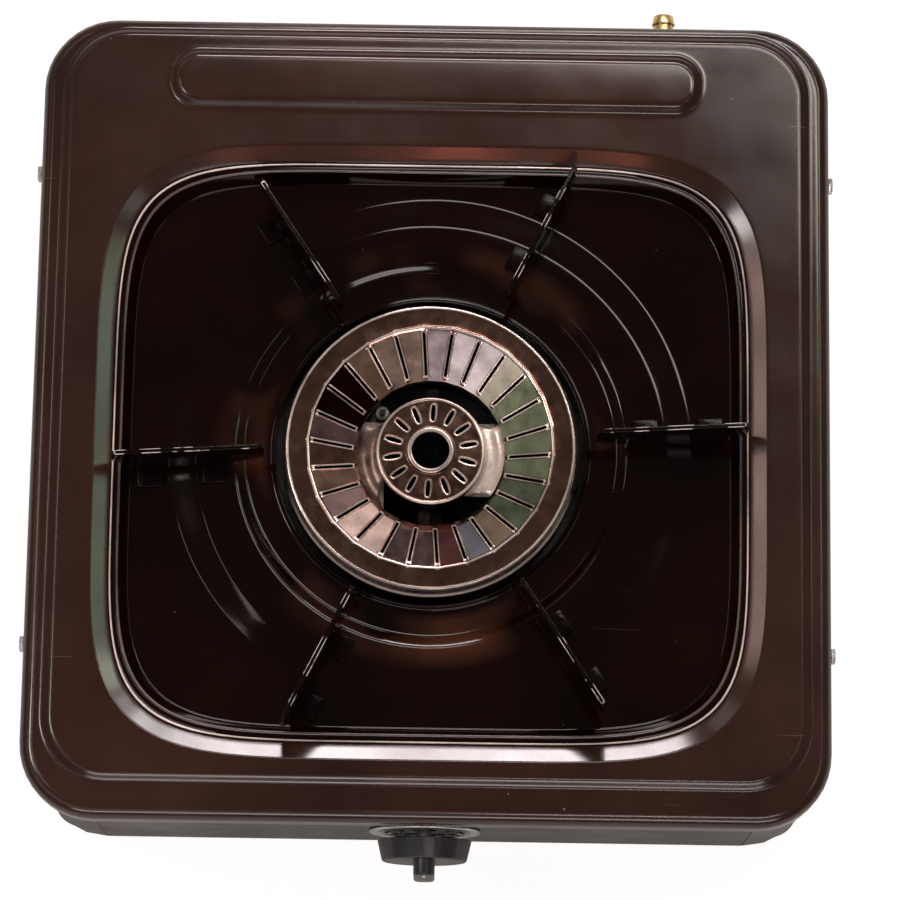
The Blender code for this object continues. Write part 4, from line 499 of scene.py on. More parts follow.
cover = {
    "flange": 92, "skirtBottom": 77.5, "edge": 6, "edgeSteps": 8, "sheet": 0.8,
    "start": (-2, 95),
    "plateau": [(6, 92), (5, 92.03), (4.3, 92.15), (3.6, 92.5), (2.8, 93.15),
        (2, 93.85), (1.2, 94.5), (0.6, 94.82), (0, 94.96), (-0.8, 95), (-2, 95)],
    "panel": [(-0.8, 95.02), (0, 95.12), (0.7, 95.4), (1.4, 95.9), (2.2, 96.6), (3, 97.25),
        (3.8, 97.7), (4.6, 97.95), (5.6, 98)],
    "well": [(-0.75, 95), (-0.45, 94.99), (-0.15, 94.93), (0.15, 94.83), (0.45, 94.69),
        (2.5, 93.73), (4.5, 92.8), (6.1, 92.05), (6.4, 91.87), (6.6, 91.6), (6.7, 91.2),
        (6.75, 90.8), (6.95, 90.5), (9.5, 90.5)]}


def makeTopCover():
    bm = bmesh.new()
    ring = startRing(bm, caseOutline(0), cover["skirtBottom"])
    steps = cover["edgeSteps"]
    leans = [pi / 2 * step / steps for step in range(steps + 1)]
    edge = cover["edge"]
    ring = loft(bm, ring, caseOutline,
                [(edge * (1 - cos(lean)), cover["flange"] - edge * (1 - sin(lean)))
                 for lean in leans])
    plateauEdge = loft(bm, ring, plateauOutline, cover["plateau"])
    inset, level = cover["start"]
    panelEdge = startRing(bm, panelOutline(inset), level)
    bm.faces.new(loft(bm, panelEdge, panelOutline, cover["panel"]))
    wellEdge = startRing(bm, bevelOutline(inset), level)
    loft(bm, wellEdge, bevelOutline, cover["well"])
    borders = ringEdges(bm, plateauEdge) + ringEdges(bm, panelEdge) + ringEdges(bm, wellEdge)
    fill(bm, borders)
    upward(bm)
    piece = makePiece("topCover", bm, ["brownEnamel"], "stove", ["top_cover"])
    thicken(piece, cover["sheet"])


makeTopCover()
print("top cover made")


# Drip tray

tray = {
    "sheet": 0.8, "start": (7.1, 91.2),
    "hem": [(7.15, 91.45), (7.3, 91.6), (7.5, 91.66), (7.7, 91.6), (7.85, 91.4)],
    "groove": [(8.1, 91.2), (9.6, 91.15), (9.85, 91.3)],
    "rim": [(10, 91.5), (10.25, 91.6), (10.55, 91.57), (10.8, 91.4)],
    "wall": [(11.05, 91), (13.2, 84.5), (13.6, 83.95), (14.2, 83.68), (15, 83.6)],
    "rounds": [(108, 83.6), (106.6, 83.62), (105.6, 83.72), (104.6, 83.93), (101.5, 84.7),
        (98, 85.57), (95.2, 86.25), (94.3, 86.42), (93.4, 86.51), (92.2, 86.56), (90, 86.6),
        (86.5, 86.64), (83, 86.58), (80.6, 86.46), (79.6, 86.34), (78.8, 86.05), (77, 85.05),
        (75.2, 84.05), (74.5, 83.78), (73.4, 83.63), (71.5, 83.6), (65, 83.6), (64.2, 83.75),
        (63.5, 84.3), (63.15, 85.3), (63.1, 86.1)]}


def makeDripTray():
    bm = bmesh.new()
    inset, level = tray["start"]
    ring = startRing(bm, wellOutline(inset), level)
    # The hem takes the painted highlight finish.
    ring = loft(bm, ring, wellOutline, tray["hem"], 1)
    ring = loft(bm, ring, wellOutline, tray["groove"])
    ring = loft(bm, ring, wellOutline, tray["rim"], 2)
    ring = loft(bm, ring, wellOutline, tray["wall"])
    angles = wellAngles()
    loft(bm, ring, lambda radius: roundOutline(radius, angles), tray["rounds"])
    upward(bm)
    materials = ["blackEnamel", "wornHem", "trayRim"]
    piece = makePiece("dripTray", bm, materials, "drip_tray", ["drip_tray"])
    thicken(piece, tray["sheet"])


makeDripTray()
print("drip tray made")


# Pan-support fins

fin = {
    "count": 6, "sheet": 1.8, "firstAngle": 3.5, "edge": 0.45, "edgeSteps": 3,
    "side": [(80, 86.9), (94.3, 86.9), (105.3, 83.9), (118.5, 83.9), (121.5, 91.9), (127, 96.9),
        (127, 111), (125, 113), (68.5, 113), (66.5, 111), (66.5, 95.9)],
    "tabs": [(82, 92, 86.9), (108.5, 118.5, 83.9)], "tabWidth": 8}


def makeFin(number):
    bm = bmesh.new()
    half = fin["sheet"] / 2
    side = bm.faces.new([bm.verts.new((r * mm, -half * mm, z * mm)) for r, z in fin["side"]])
    made = bmesh.ops.extrude_face_region(bm, geom=[side])["geom"]
    moved = [item for item in made if isinstance(item, bmesh.types.BMVert)]
    bmesh.ops.translate(bm, verts=moved, vec=(0, fin["sheet"] * mm, 0))
    for low, high, level in fin["tabs"]:
        tab = bmesh.ops.create_cube(bm, size=1)["verts"]
        size = (high - low, fin["tabWidth"] + half, fin["sheet"])
        bmesh.ops.scale(bm, verts=tab, vec=[value * mm for value in size])
        bmesh.ops.translate(bm, verts=tab, vec=((low + high) / 2 * mm, size[1] / 2 * mm,
                                                (level + half) * mm))
    turnOut(bm)
    bmesh.ops.bevel(bm, geom=bm.edges[:], offset=fin["edge"] * mm,
                    segments=fin["edgeSteps"], profile=0.5, affect="EDGES", material=-1)
    angle = radians(fin["firstAngle"] + 360 / fin["count"] * number)
    bm.transform(Matrix.Rotation(angle, 4, "Z"))
    makePiece("supportFin%d" % (number + 1), bm, ["finEnamel"], "drip_tray",
              ["support_fin_%d" % (number + 1)])


for number in range(fin["count"]):
    makeFin(number)
print("fins made")


# Burner ring head: one sector about each slot, repeated round the ring

ringHead = {
    "slots": 26, "turn": 11.1, "halfSlot": 0.55, "thickness": 3.4, "sharp": 28,
    "columns": [0.55, 0.7, 0.9, 1.1, 1.35, 2.2], "slotTop": (47.4, 32),
    "slotUnder": (47.3, 33.5), "underSteps": 9,
    # Radius and level of the cone's foot, its rise over its run, and its normal.
    "coneFoot": (30, 85), "coneSlope": (12, 19), "normal": (0.534, 0.8455),
    "cone": [48.6, 48.3, 47.9, 47.4, 46.8, 45, 42, 39, 36, 34, 33, 32.4, 32, 31.6,
        31.2, 30.8, 30.4, 30],
    "lip": 0.42, "lipMiddle": 0.9, "lipHalf": 0.45, "lipReach": (31.4, 48.2), "lipEnd": 0.9,
    "bead": 0.5, "beadPlace": 31.7, "beadSize": 1.3,
    # Limits of the faces painted with the edge highlight: lips across and along, bead, the rim's
    # edges, depth.
    "brightLip": (0.5, 1.2), "brightAlong": (31.4, 48.1), "brightBead": (31, 32.3),
    "innerEdge": (49, 49.9), "outerEdge": (57, 96.4), "brightDepth": 1.2,
    # Where a sector's faces are taken out for the slot.
    "cutReach": (31, 48), "cutLevel": 83.7, "cutSlack": 0.2,
    # Radius, level, share of polygon and side of the cone, once round the section.
    "rim": [(58, 90.3, 0, 0), (58, 96.2, 0, 0), (57.93, 96.6, 0, 0), (57.75, 96.88, 0, 0),
        (57.5, 97, 0, 0), (57.2, 97.02, 0, 0), (56.9, 96.96, 0, 0), (56.6, 96.92, 0, 0),
        (55, 96.92, 0, 0), (52, 96.92, 0.5, 0), (50.4, 96.92, 1, 0), (50.1, 96.97, 1, 0),
        (49.8, 97.06, 1, 0), (49.5, 97.1, 1, 0), (49.2, 97.04, 1, 0), (48.95, 96.9, 1, 0)],
    "toe": [(30, 83.8, 1, 0), (30.2, 83.6, 1, 0), (33, 83.6, 1, 0)],
    "collar": [(49, 93.4, 0, 0), (53.2, 93.4, 0, 0), (53.2, 86, 0, 0), (55.2, 86, 0, 0),
        (55.2, 90.3, 0, 0)]}


def coneLevel(radius):
    foot, level = ringHead["coneFoot"]
    rise, run = ringHead["coneSlope"]
    return level + (radius - foot) * rise / run


def ringStations():
    high, low = ringHead["slotUnder"]
    steps = ringHead["underSteps"]
    under = [low + (high - low) * step / steps for step in range(steps + 1)]
    top = [(radius, coneLevel(radius), 1, 1) for radius in ringHead["cone"]]
    bottom = [(radius, coneLevel(radius) - ringHead["thickness"], 1, -1) for radius in under]
    return ringHead["rim"] + top + ringHead["toe"] + bottom + ringHead["collar"]


def lipHeight(radius, across):
    start, stop = ringHead["lipReach"]
    ends = [min(1, max(0, inside / ringHead["lipEnd"]))
            for inside in (radius - start, stop - radius)]
    side = max(0, 1 - ((abs(across) - ringHead["lipMiddle"]) / ringHead["lipHalf"]) ** 2)
    away = (radius - ringHead["beadPlace"]) ** 2 + across ** 2
    bead = max(0, 1 - away / ringHead["beadSize"])
    return max(ringHead["lip"] * side * (ends[0] * ends[1]), ringHead["bead"] * bead)


def ringPoint(station, share, across):
    radius, level, polygon, cone = station
    facet = pi / ringHead["slots"]
    if abs(share) == 1:
        across = share * radius * sin(facet) * cos(facet)
    out = radius - abs(across) * tan(facet)
    flat = hypot(out, across)
    reach = (polygon * flat + (1 - polygon) * radius) / flat
    out *= reach
    across *= reach
    if cone == 1:
        rise = lipHeight(radius, across)
        out -= ringHead["normal"][0] * rise
        level += ringHead["normal"][1] * rise
    return out, across, level


def brightOnRing(face):
    # The rim's two edges, and the lips and bead of a slot: faces that take the pale edge colour, a
    # painted highlight.
    x, y, z = [value / mm for value in face.calc_center_median()]
    radius = x + abs(y) * tan(pi / ringHead["slots"])
    inner = ringHead["innerEdge"]
    if z < coneLevel(min(radius, inner[0])) - ringHead["brightDepth"]:
        return False
    reach, level = ringHead["outerEdge"]
    edge = within(radius, inner) or (hypot(x, y) > reach and z > level)
    across = ringHead["brightLip"]
    lip = within(abs(y), across) and within(radius, ringHead["brightAlong"])
    bead = within(radius, ringHead["brightBead"]) and abs(y) < across[1]
    return edge or lip or bead


def makeRingHead():
    bm = bmesh.new()
    stations = ringStations()
    offsets = ringHead["columns"]
    columns = [(-1, 0)] + [(0, -value) for value in reversed(offsets)]
    columns += [(0, value) for value in offsets] + [(1, 0)]
    first = [ringPoint(station, *columns[0]) for station in stations]
    row = [bm.verts.new([value * mm for value in point]) for point in first]
    for place in range(len(row)):
        bm.edges.new((row[place - 1], row[place]))
    for column in columns[1:]:
        row = nextRow(bm, row, [ringPoint(station, *column) for station in stations])
    halfSlot = ringHead["halfSlot"] * 1.02
    holes = []
    for face in bm.faces:
        out, across, level = [value / mm for value in face.calc_center_median()]
        upright = abs(face.normal.z) < 0.2
        if upright or abs(across) > halfSlot / 2 or not within(out, ringHead["cutReach"]):
            continue
        onTop = level > coneLevel(out) - ringHead["thickness"] / 2
        high, low = ringHead["slotTop" if onTop else "slotUnder"]
        if low - ringHead["cutSlack"] < out < high and level > ringHead["cutLevel"]:
            holes.append(face)
    bmesh.ops.delete(bm, geom=holes, context="FACES")
    loops = [edge for edge in bm.edges if edge.is_boundary
             and all(abs(vert.co.y) < halfSlot * mm for vert in edge.verts)]
    bmesh.ops.bridge_loops(bm, edges=loops)
    for face in bm.faces:
        face.material_index = 1 if brightOnRing(face) else 0
    bmesh.ops.spin(bm, geom=bm.verts[:] + bm.edges[:] + bm.faces[:], cent=(0, 0, 0), axis=(0, 0, 1),
                   angle=2 * pi, steps=ringHead["slots"], use_duplicate=True)
    bmesh.ops.remove_doubles(bm, verts=bm.verts, dist=0.00001)
    turnOut(bm)
    bm.transform(Matrix.Rotation(radians(ringHead["turn"]), 4, "Z"))
    makePiece("ringHead", bm, ["polishedRing", "wornEdge"], "burner_ring_head",
              ["burner_ring_head"], ringHead["sharp"])


makeRingHead()
print("ring head made")


# Centre cap: flat top between collar and bead, with raised oval slots

cap = {
    "slots": 14, "firstAngle": 87, "steps": 112, "slot": (12.4, 18.7), "halfSlot": 0.75,
    "ovalPower": 0.5, "top": 89.2, "topRadii": (10.35, 20.2), "apron": 1.12, "throat": (0.3, 0.5),
    "under": 87.2,
    # Limits of the faces painted with the edge highlight: lips above the top, collar and rim.
    "brightRise": 0.14, "brightReach": (11, 20.2), "brightCollar": 90.6, "brightRim": (20.7, 88.8),
    "lip": [(0.95, 0), (0.85, 0.05), (0.7, 0.34), (0.48, 0.52), (0.26, 0.48), (0.08, 0.25),
        (0, -0.1)],
    "collar": [(10.1, 89.2), (9.9, 89.25), (9.6, 89.5), (9.45, 90.2), (9.35, 90.9),
        (9.1, 91.15), (8.7, 91.25), (8.1, 91.25), (7.75, 91.15), (7.55, 90.9), (7.5, 90.5),
        (7.5, 84.8), (9.9, 84.8), (9.9, 87.2)],
    "rim": [(20.35, 89.2), (20.5, 89.22), (20.8, 89.45), (21.15, 89.62), (21.5, 89.6),
        (21.8, 89.4), (21.97, 89), (22, 88.5), (22, 85), (21.8, 84.8), (19.7, 84.8),
        (19.7, 82.5), (18.9, 82.5), (18.9, 87.2)]}


def ovalOutline(first, last, half, grow):
    # Pointed oval, as wide as half on each side in its middle.
    length = (last - first) / 2
    points = []
    for angle in evenAngles(28):
        x = cos(angle) * (length + grow)
        y = abs(sin(angle)) ** cap["ovalPower"]
        y = copysign(y, sin(angle)) * (half + grow)
        points.append(((first + last) / 2 + x, y))
    return points


def turnedPoints(points, angle):
    return [(x * cos(angle) - y * sin(angle), x * sin(angle) + y * cos(angle))
            for x, y in points]


def makeCenterCap():
    bm = bmesh.new()
    angles = evenAngles(cap["steps"])

    def around(radius):
        return roundOutline(radius, angles)

    top, half = cap["top"], cap["halfSlot"]
    first, last = cap["slot"]
    inner, outer = [startRing(bm, around(radius), top) for radius in cap["topRadii"]]
    collar = loft(bm, inner, around, cap["collar"])
    rim = loft(bm, outer, around, cap["rim"])
    tops = ringEdges(bm, inner) + ringEdges(bm, outer)
    unders = ringEdges(bm, collar) + ringEdges(bm, rim)
    for number in range(cap["slots"]):
        angle = radians(cap["firstAngle"]) + 2 * pi * number / cap["slots"]
        apron = turnedPoints(ovalOutline(first, last, half, cap["apron"]), angle)
        ring = startRing(bm, apron, top)
        tops += ringEdges(bm, ring)
        for grow, rise in cap["lip"]:
            oval = turnedPoints(ovalOutline(first, last, half, grow), angle)
            ring = nextRing(bm, ring, oval, top + rise)
        shorter, halfThroat = cap["throat"]
        throat = turnedPoints(ovalOutline(first, last - shorter, halfThroat, 0), angle)
        unders += ringEdges(bm, nextRing(bm, ring, throat, cap["under"]))
    fill(bm, tops)
    fill(bm, unders)
    turnOut(bm)
    brightReach, brightLevel = cap["brightRim"]
    for face in bm.faces:
        x, y, z = [value / mm for value in face.calc_center_median()]
        reach = hypot(x, y)
        lip = z > top + cap["brightRise"] and within(reach, cap["brightReach"])
        onRim = reach > brightReach and z > brightLevel
        face.material_index = 1 if lip or z > cap["brightCollar"] or onRim else 0
    makePiece("centerCap", bm, ["brownBurnerMetal", "wornEdge"], "burner_center_cap",
              ["burner_center_cap"])


makeCenterCap()
print("centre cap made")


# Burner casting: rounded tops of its two arms, and the trough's lip

arms = {
    "inner": 21.65, "outer": 29.85, "web": 81.6, "rise": 1.5, "hollow": 2.2, "rear": 13,
    "front": 17, "left": 18.7, "endStart": 0.8, "endShare": 0.2, "endDrop": 1.8, "steps": 26,
    "columns": 8, "sharp": 60}


def armEnds(side, reach):
    if side > 0:
        return -asin(arms["front"] / reach), asin(arms["rear"] / reach)
    return pi - asin(arms["rear"] / reach), pi + acos(arms["left"] / reach)


def makeArm(name, side, material):
    bm = bmesh.new()
    columns = [step / arms["columns"] for step in range(arms["columns"] + 1)]
    line = []
    for step in range(arms["steps"] + 1):
        along = step / arms["steps"] * 2 - 1
        end = max(0, (abs(along) - arms["endStart"]) / arms["endShare"])
        row = []
        for column in columns:
            reach = arms["inner"] + (arms["outer"] - arms["inner"]) * column
            low, high = armEnds(side, reach)
            angle = (low + high) / 2 + (high - low) / 2 * along
            level = arms["web"] + arms["rise"] * abs(column * 2 - 1) ** arms["hollow"]
            level -= arms["endDrop"] * end ** 2
            row.append((reach * cos(angle), reach * sin(angle), level))
        if line:
            edges = [bm.edges.get(pair) for pair in zip(line, line[1:])]
            line = nextRow(bm, line, row, edges)
        else:
            line = [bm.verts.new([value * mm for value in point]) for point in row]
            for pair in zip(line, line[1:]):
                bm.edges.new(pair)
    upward(bm)
    makePiece(name, bm, [material], "stove", [], arms["sharp"])


trough = {
    "steps": 128,
    "lip": [(58.5, 89.9), (58.6, 90.15), (58.9, 90.3), (59.3, 90.25), (59.6, 89.95),
        (59.7, 89.5), (59.5, 89.3), (58.8, 89.4)]}
# Right arm lit and left arm shaded: painted light and shade on one casting.
makeArm("rightArm", 1, "castArm")
makeArm("leftArm", -1, "castArmDark")
makePiece("troughLip", spun(trough["lip"], trough["steps"]), ["troughLip"], "stove", [])
print("casting details made")


# Knob, bezel, hose nipple, feet and screws

outer = {
    "knobLevel": 54, "panelFace": -148.9, "knobSteps": 96, "ribs": 32, "ribDepth": 0.28,
    "ribReach": (17.21, 18.3), "ribLevels": (4.8, 12.2), "gripFoot": 12.2, "gripHalf": 4.25,
    "gripReach": 16.1, "gripSteps": 16, "pointer": (1.1, 7, 0.3), "pointerPlace": (0, 9.5, 19.44),
    "footSteps": 64, "feet": [(-143, -132), (143, -132), (143, 162), (-143, 162)],
    "knob": [(0, 12.8), (15.9, 12.8), (16.5, 12.7), (16.95, 12.4), (17.2, 11.95), (18.8, 5),
        (18.95, 4.7), (18.85, 4.4), (18.5, 4.3), (17.5, 4.3), (17.2, 4.6), (17.2, 11),
        (6.2, 11), (6.2, 4.9), (5.9, 4.6), (4, 4.6), (4, 10.6), (0, 10.6)],
    "grip": [(0, 18.4), (0.12, 18.95), (0.45, 19.3), (0.95, 19.48), (1.5, 19.52)],
    "bezel": [(16.5, 0.35), (22.3, 0.3), (22.5, 0.5), (22.5, 0.8), (22.3, 1.1), (21.9, 1.35),
        (21.3, 1.48), (17.1, 1.5), (16.7, 1.4), (16.5, 1.1)],
    "foot": [(2.1, 13), (9.9, 13), (10.3, 12.9), (10.5, 12.6), (11.4, 5.5), (11.8, 2.2),
        (11.95, 1.2), (11.85, 0.6), (11.4, 0.15), (10.8, 0), (9.4, 0), (9.1, 0.35), (8.4, 0.35),
        (8.1, 0), (5.9, 0), (5.5, 0.4), (5.5, 5), (2.1, 5)]}


def outward():
    place = Matrix.Translation((0, outer["panelFace"] * mm, outer["knobLevel"] * mm))
    return place @ Matrix.Rotation(pi / 2, 4, "X")


def gripOutline(inset):
    half, reach = outer["gripHalf"] - inset, outer["gripReach"] - inset
    upper = arc((0, reach - half), half, 0, pi, outer["gripSteps"])
    return upper + [(-x, -y) for x, y in upper]


def makeKnob():
    bm = spun(outer["knob"], outer["knobSteps"], closed=False)
    wall, always = outer["ribReach"]
    for vert in bm.verts:
        reach = hypot(vert.co.x, vert.co.y) / mm
        if reach > always or (reach > wall and within(vert.co.z / mm, outer["ribLevels"])):
            angle = atan2(vert.co.y, vert.co.x)
            sunk = outer["ribDepth"] * (0.5 - 0.5 * cos(outer["ribs"] * angle))
            vert.co.xy *= (reach - sunk) / reach
    grip = bmesh.new()
    ring = startRing(grip, gripOutline(0), outer["gripFoot"])
    ring = loft(grip, ring, gripOutline, outer["grip"])
    grip.faces.new(ring)
    turnOut(grip)
    addInto(bm, grip)
    bm.transform(outward())
    makePiece("knob", bm, ["knobPlastic"], "knob", ["knob"])
    line = bmesh.new()
    bmesh.ops.create_cube(line, size=1)
    size, place = [[value * mm for value in outer[key]] for key in ("pointer", "pointerPlace")]
    bmesh.ops.scale(line, verts=line.verts, vec=size)
    bmesh.ops.translate(line, verts=line.verts, vec=place)
    line.transform(outward())
    makePiece("knobPointer", line, ["knobMark"], "knob", [])


def makeBezel():
    bm = spun(outer["bezel"], outer["knobSteps"])
    bm.transform(outward())
    makePiece("knobBezel", bm, ["screwSteel"], "stove", ["knob_bezel"])


nipple = {
    "place": (95, 54), "wall": 179.2, "steps": 64, "bore": 4.3, "inner": 3, "barbs": 3,
    "waist": 4, "barb": 4.8, "pitch": 4, "flangeTop": 2, "shank": 3, "back": -14,
    "boreEnd": -9, "edge": 0.3, "barbGaps": (0.05, 0.1),
    "barbEdge": [(-0.15, 0), (0, 0.15), (-0.05, 0.5)],
    "stem": [(5.7, -14), (6, -13.7), (6, 0), (8.7, 0), (9, 0.3), (9, 1.6), (8.6, 2)]}


def makeNipple():
    base, waist, barb, pitch = [nipple[key] for key in ("flangeTop", "waist", "barb", "pitch")]
    edge, inner, bore = nipple["edge"], nipple["inner"], nipple["bore"]
    profile = [(bore, nipple["back"])] + nipple["stem"] + [(waist + edge, base),
                                                           (waist, base + edge)]
    top = base + nipple["shank"]
    before, after = nipple["barbGaps"]
    for number in range(nipple["barbs"]):
        start = top + number * pitch
        profile.append((waist, start - before))
        profile += [(barb + out, start + up) for out, up in nipple["barbEdge"]]
        profile.append((waist, start + pitch - after))
    end = top + nipple["barbs"] * pitch
    profile += [(waist - after, end), (inner + edge, end), (inner, end - edge),
                (inner, nipple["boreEnd"]), (bore, nipple["boreEnd"])]
    bm = spun(profile, nipple["steps"])
    x, level = nipple["place"]
    bm.transform(Matrix.Translation((x * mm, nipple["wall"] * mm, level * mm))
                 @ Matrix.Rotation(-pi / 2, 4, "X"))
    makePiece("hoseNipple", bm, ["brass"], "stove", ["hose_nipple"])


def makeFeet():
    for number, (x, y) in enumerate(outer["feet"]):
        bm = spun(outer["foot"], outer["footSteps"])
        bm.transform(Matrix.Translation((x * mm, y * mm, 0)))
        makePiece("foot%d" % (number + 1), bm, ["footRubber"], "stove", ["foot_%d" % (number + 1)])


screws = {
    "steps": 24, "stem": 1.8, "cross": (1.6, 0.4), "crossTaper": 0.8, "recess": 0.75, "height": 1.6,
    "neck": 0.3, "tip": (0.6, 0.8), "sharp": 25,
    "crown": [(0.86, 1), (0.93, 0.97), (0.98, 0.9), (1, 0.8), (1, 0.06), (0.97, 0)],
    # Direction in which the heads point, their radius, the stems' length and the seats.
    "groups": [
        ((-1, 0, 0), 3.4, 6, {
            "cover_screw_1": (-161.3, -80, 81.75), "cover_screw_2": (-161.3, 115, 81.75)}),
        ((1, 0, 0), 3.4, 6, {
            "cover_screw_3": (161.3, -80, 81.75), "cover_screw_4": (161.3, 115, 81.75)}),
        ((0, 0, -1), 4.2, 14, {
            "foot_screw_1": (-143, -132, 4.7), "foot_screw_2": (143, -132, 4.7),
            "foot_screw_3": (143, 162, 4.7), "foot_screw_4": (-143, 162, 4.7)}),
        ((0, 0, -1), 3.4, 6, {
            "panel_screw_1": (-60, -142.5, 13), "panel_screw_2": (60, -142.5, 13),
            "bracket_screw_1": (-59.9, 0, 14.5), "bracket_screw_2": (59.9, 0, 14.5),
            "burner_screw_1": (44, 0, 60.2), "burner_screw_2": (-44, 0, 60.2),
            "electrode_screw": (-33.71, 28.28, 60.2)}),
        ((0, -1, 0), 3.4, 6, {
            "valve_screw_1": (-11.5, -149.2, 54), "valve_screw_2": (11.5, -149.2, 54)})]}


def crossOutline(reach, half):
    arm = [(reach, -half), (reach, half), (half, half)]
    return [point for turn in range(4) for point in turnedPoints(arm, turn * pi / 2)]


def makeScrew(name, seat, direction, head, length):
    bm = bmesh.new()
    corners = [angle + (pi / 6 if direction[0] else 0) for angle in evenAngles(6)]
    top = screws["height"]
    reach, half = screws["cross"]
    crown = [(head * share, top * height) for share, height in screws["crown"]]
    rim = startRing(bm, roundOutline(crown[0][0], corners), top)
    cross = startRing(bm, crossOutline(reach, half), top)
    fill(bm, ringEdges(bm, rim) + ringEdges(bm, cross))
    taper = screws["crossTaper"]
    cross = nextRing(bm, cross, crossOutline(reach * taper, half * taper), top - screws["recess"])
    fill(bm, ringEdges(bm, cross))
    bm.faces.new(loft(bm, rim, lambda radius: roundOutline(radius, corners), crown[1:]))
    turnOut(bm)
    stem, neck = screws["stem"], screws["neck"]
    share, taper = screws["tip"]
    addInto(bm, spun([(0, neck), (stem, neck), (stem, taper - length), (stem * share, -length),
                      (0, -length)], screws["steps"], closed=False))
    turn = Vector(direction).to_track_quat("Z", "Y").to_matrix().to_4x4()
    bm.transform(Matrix.Translation([value * mm for value in seat]) @ turn)
    pieceName = name[0] + name.title().replace("_", "")[1:]
    makePiece(pieceName, bm, ["screwSteel"], "stove", [name], screws["sharp"])


makeKnob()
makeBezel()
makeNipple()
makeFeet()
for direction, head, length, seats in screws["groups"]:
    for name, seat in seats.items():
        makeScrew(name, seat, direction, head, length)
print("outer pieces made")


# The other solids keep their shape and take these finishes

nodeFinish = {
    "body_shell": "casePaint", "front_panel": "casePaint", "burner_body": "castMetal",
    "electrode_rod": "screwSteel", "electrode_insulator": "ceramic", "piezo_igniter": "knobPlastic",
    "ignition_lead": "leadSilicone", "valve_body": "brass", "valve_cap": "brass",
    "valve_plug": "brass", "valve_spindle": "screwSteel", "spindle_spring": "screwSteel",
    "knob": "knobPlastic", "knob_bezel": "screwSteel", "injector": "brass", "hose_nipple": "brass",
    "nipple_nut": "brass", "pipe_nut": "brass"}


def finishOf(name):
    if "screw" in name:
        return "screwSteel"
    if name.startswith("foot_"):
        return "footRubber"
    return nodeFinish.get(name, "zincSheet")


kept = {
    "weld": 0.000002, "edge": 0.18, "segments": 2, "angle": 40,
    "sheets": {"body_shell": "bodyShell", "front_panel": "frontPanel", "base_plate": "basePlate"}}
for name, pieceName in kept["sheets"].items():
    # A merged copy, so that the sheet's bends shade round.
    bm = bmesh.new()
    bm.from_mesh(nodes[name].data)
    bm.transform(Matrix.Translation((0, -middleShift * mm, 0)) @ nodes[name].matrix_world)
    bmesh.ops.remove_doubles(bm, verts=bm.verts, dist=kept["weld"])
    piece = makePiece(pieceName, bm, [finishOf(name)], "stove", [name])
    roundEdges(piece, kept["edge"], kept["segments"], kept["angle"])
    piece.modifiers.new("normals", "WEIGHTED_NORMAL").keep_sharp = True
for name, node in nodes.items():
    for place in range(max(1, len(node.data.materials))):
        if place < len(node.material_slots):
            node.material_slots[place].material = finish[finishOf(name)]
        else:
            node.data.materials.append(finish[finishOf(name)])
    if not node.hide_render:
        node.modifiers.new("weld", "WELD").merge_threshold = kept["weld"]
        roundEdges(node, kept["edge"], kept["segments"], kept["angle"])
print("solids finished")


# Floor, light and camera

studio = {
    "floor": (0.8, 0.79, 0.78), "floorRadius": 9, "darker": 0.985,
    "floorPatches": (0.6, 0.3, 0.7), "floorRough": 0.9, "floorSpecular": 0.1,
    "glow": (1, 0.995, 0.99), "background": 1.16, "glowShare": 0.8, "shade": (0.135, 0.15),
    "world": 0.14, "worldColour": (1, 0.95, 0.92), "distance": 1.8, "level": 0.09,
    # Name, azimuth, elevation, width, height, brightness and colour of each lamp.
    "lamps": [
        ("key", 66, 61, 1.08, 0.16, 14, (1, 0.92, 0.87)),
        ("lowLeft", 188, 65, 0.5, 0.07, 5, (1, 0.92, 0.88)),
        ("facetsFront", 236, 36, 2, 0.5, 0.62, (1, 0.96, 0.98)),
        ("facetsFrontLeft", 292, 39, 0.7, 0.3, 0.24, (1, 0.96, 0.98)),
        ("facetsLeft", 185, 30, 1.1, 0.5, 0.32, (0.95, 1, 0.92)),
        ("facetsLeftRear", 145, 21, 1.3, 0.45, 0.3, (0.95, 1, 0.92)),
        ("facetsRearLeft", 109, 17, 0.8, 0.25, 0.45, (1, 1, 1)),
        ("facetsRearRight", 55, 18.5, 0.85, 0.42, 0.6, (1, 0.95, 0.92)),
        ("bevelFront", 91, 35.2, 0.54, 0.19, 32, (1, 0.89, 0.91)),
        ("bevelCorner", 71, 38.2, 0.5, 0.19, 17, (1, 0.96, 0.94)),
        ("bevelLilac", 54, 41.2, 0.34, 0.17, 7, (1, 0.89, 0.93)),
        ("bevelPale", 35, 44.3, 0.42, 0.17, 8, (0.9, 1, 0.82)),
        ("bevelLeft", 16.5, 47, 0.4, 0.19, 3, (0.7, 1, 0.72)),
        ("bevelRight", 161, 46.6, 0.38, 0.19, 6.5, (1, 0.68, 0.58)),
        ("bevelRearRight", 183, 52.3, 0.36, 0.2, 22, (1, 0.92, 0.88)),
        ("bevelRearLeft", 348, 55, 0.4, 0.2, 2, (0.95, 1, 0.95)),
        ("bevelFrontRight", 125, 39.5, 0.5, 0.19, 1.6, (1, 0.93, 0.9)),
        ("bevelRear", 270.5, 59.8, 0.07, 0.08, 12, (1, 0.25, 0.15)),
        ("panelFront", 270, 22, 1.6, 0.25, 7, (1, 0.88, 0.84)),
        ("stepFront", 287, 50, 0.64, 0.12, 12, (1, 0.9, 0.88))]}


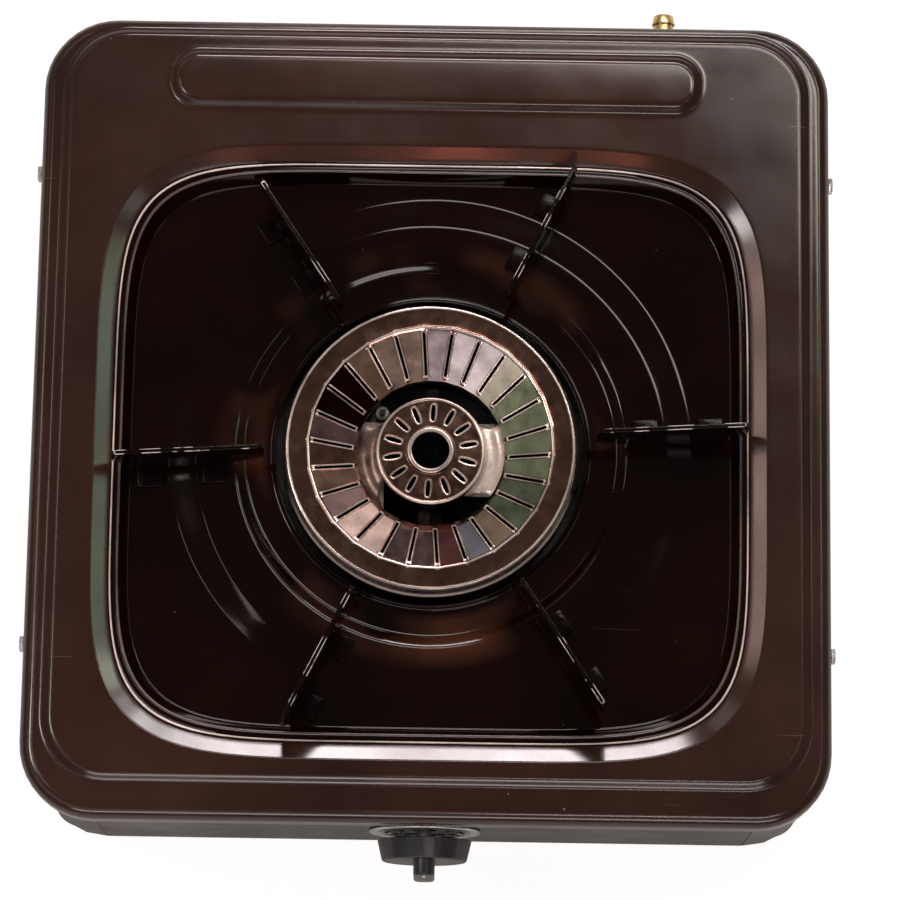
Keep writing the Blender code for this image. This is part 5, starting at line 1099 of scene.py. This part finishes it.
def makeFloor():
    bm = bmesh.new()
    bmesh.ops.create_circle(bm, cap_ends=True, radius=studio["floorRadius"], segments=96)
    mesh = bpy.data.meshes.new("floor")
    bm.to_mesh(mesh)
    bm.free()
    floor = linked("floor", mesh)
    material, tree, shader, place = startMaterial("paleFloor")
    scale, low, high = studio["floorPatches"]
    shade = spread(tree, noise(tree, place, scale), low, high)
    dark = opaque([value * studio["darker"] for value in studio["floor"]])
    setInputs(tree, shader, {
        "Base Color": mixed(tree, shade, dark, opaque(studio["floor"])),
        "Roughness": studio["floorRough"], "Specular IOR Level": studio["floorSpecular"]})
    glow = addNode(tree, "Emission", None, {"Color": opaque(studio["glow"]),
                                            "Strength": studio["background"]})
    # The pale glow leaves out the shade under the stove.
    apart = addNode(tree, "SeparateXYZ", None, {"Vector": place})
    reach = combined(tree, "MAXIMUM", combined(tree, "ABSOLUTE", apart.outputs["X"], 0),
                     combined(tree, "ABSOLUTE", apart.outputs["Y"], 0))
    outside = spread(tree, reach, *studio["shade"])
    seen = addNode(tree, "LightPath").outputs["Is Camera Ray"]
    share = times(tree, times(tree, seen, outside), studio["glowShare"])
    blend = addNode(tree, "MixShader", None, {0: share, 1: shader.outputs[0], 2: glow.outputs[0]})
    tree.links.new(blend.outputs[0], tree.nodes["Material Output"].inputs["Surface"])
    mesh.materials.append(material)


def addLamp(name, azimuth, elevation, width, height, brightness, colour):
    light = bpy.data.lights.new(name, "AREA")
    light.shape = "RECTANGLE"
    light.size, light.size_y = width, height
    light.energy = brightness * pi * width * height
    light.color = colour
    lamp = linked(name, light)
    around, up = radians(azimuth), radians(elevation)
    away = Vector((cos(up) * cos(around), cos(up) * sin(around), sin(up)))
    lamp.location = away * studio["distance"] + Vector((0, middleShift * mm, studio["level"]))
    lamp.rotation_euler = away.to_track_quat("Z", "Y").to_euler()


def makeStudio():
    world = bpy.data.worlds.new("studio")
    world.use_nodes = True
    bpy.context.scene.world = world
    back = world.node_tree.nodes["Background"]
    back.inputs["Color"].default_value = opaque(studio["worldColour"])
    back.inputs["Strength"].default_value = studio["world"]
    for lamp in studio["lamps"]:
        addLamp(*lamp)


view = {
    "lens": 150, "sensor": 36, "clip": (0.05, 40), "aim": (0.0078, -0.0012, 0.097), "tilt": 12,
    "roll": 0.9, "distance": 1.5}


def makeCamera():
    camera = bpy.data.cameras.new("camera")
    camera.lens = view["lens"]
    camera.sensor_width = view["sensor"]
    camera.clip_start, camera.clip_end = view["clip"]
    viewer = linked("camera", camera)
    x, y, z = view["aim"]
    tilt = Matrix.Rotation(radians(view["tilt"]), 4, "X")
    roll = Matrix.Rotation(radians(view["roll"]), 4, "Z")
    viewer.matrix_world = (Matrix.Translation((x, middleShift * mm + y, z)) @ (tilt @ roll)
                           @ Matrix.Translation((0, 0, view["distance"])))
    bpy.context.scene.camera = viewer


makeFloor()
makeStudio()
makeCamera()
bpy.context.scene.view_settings.view_transform = "Standard"
print("studio made")

bpy.context.view_layer.update()
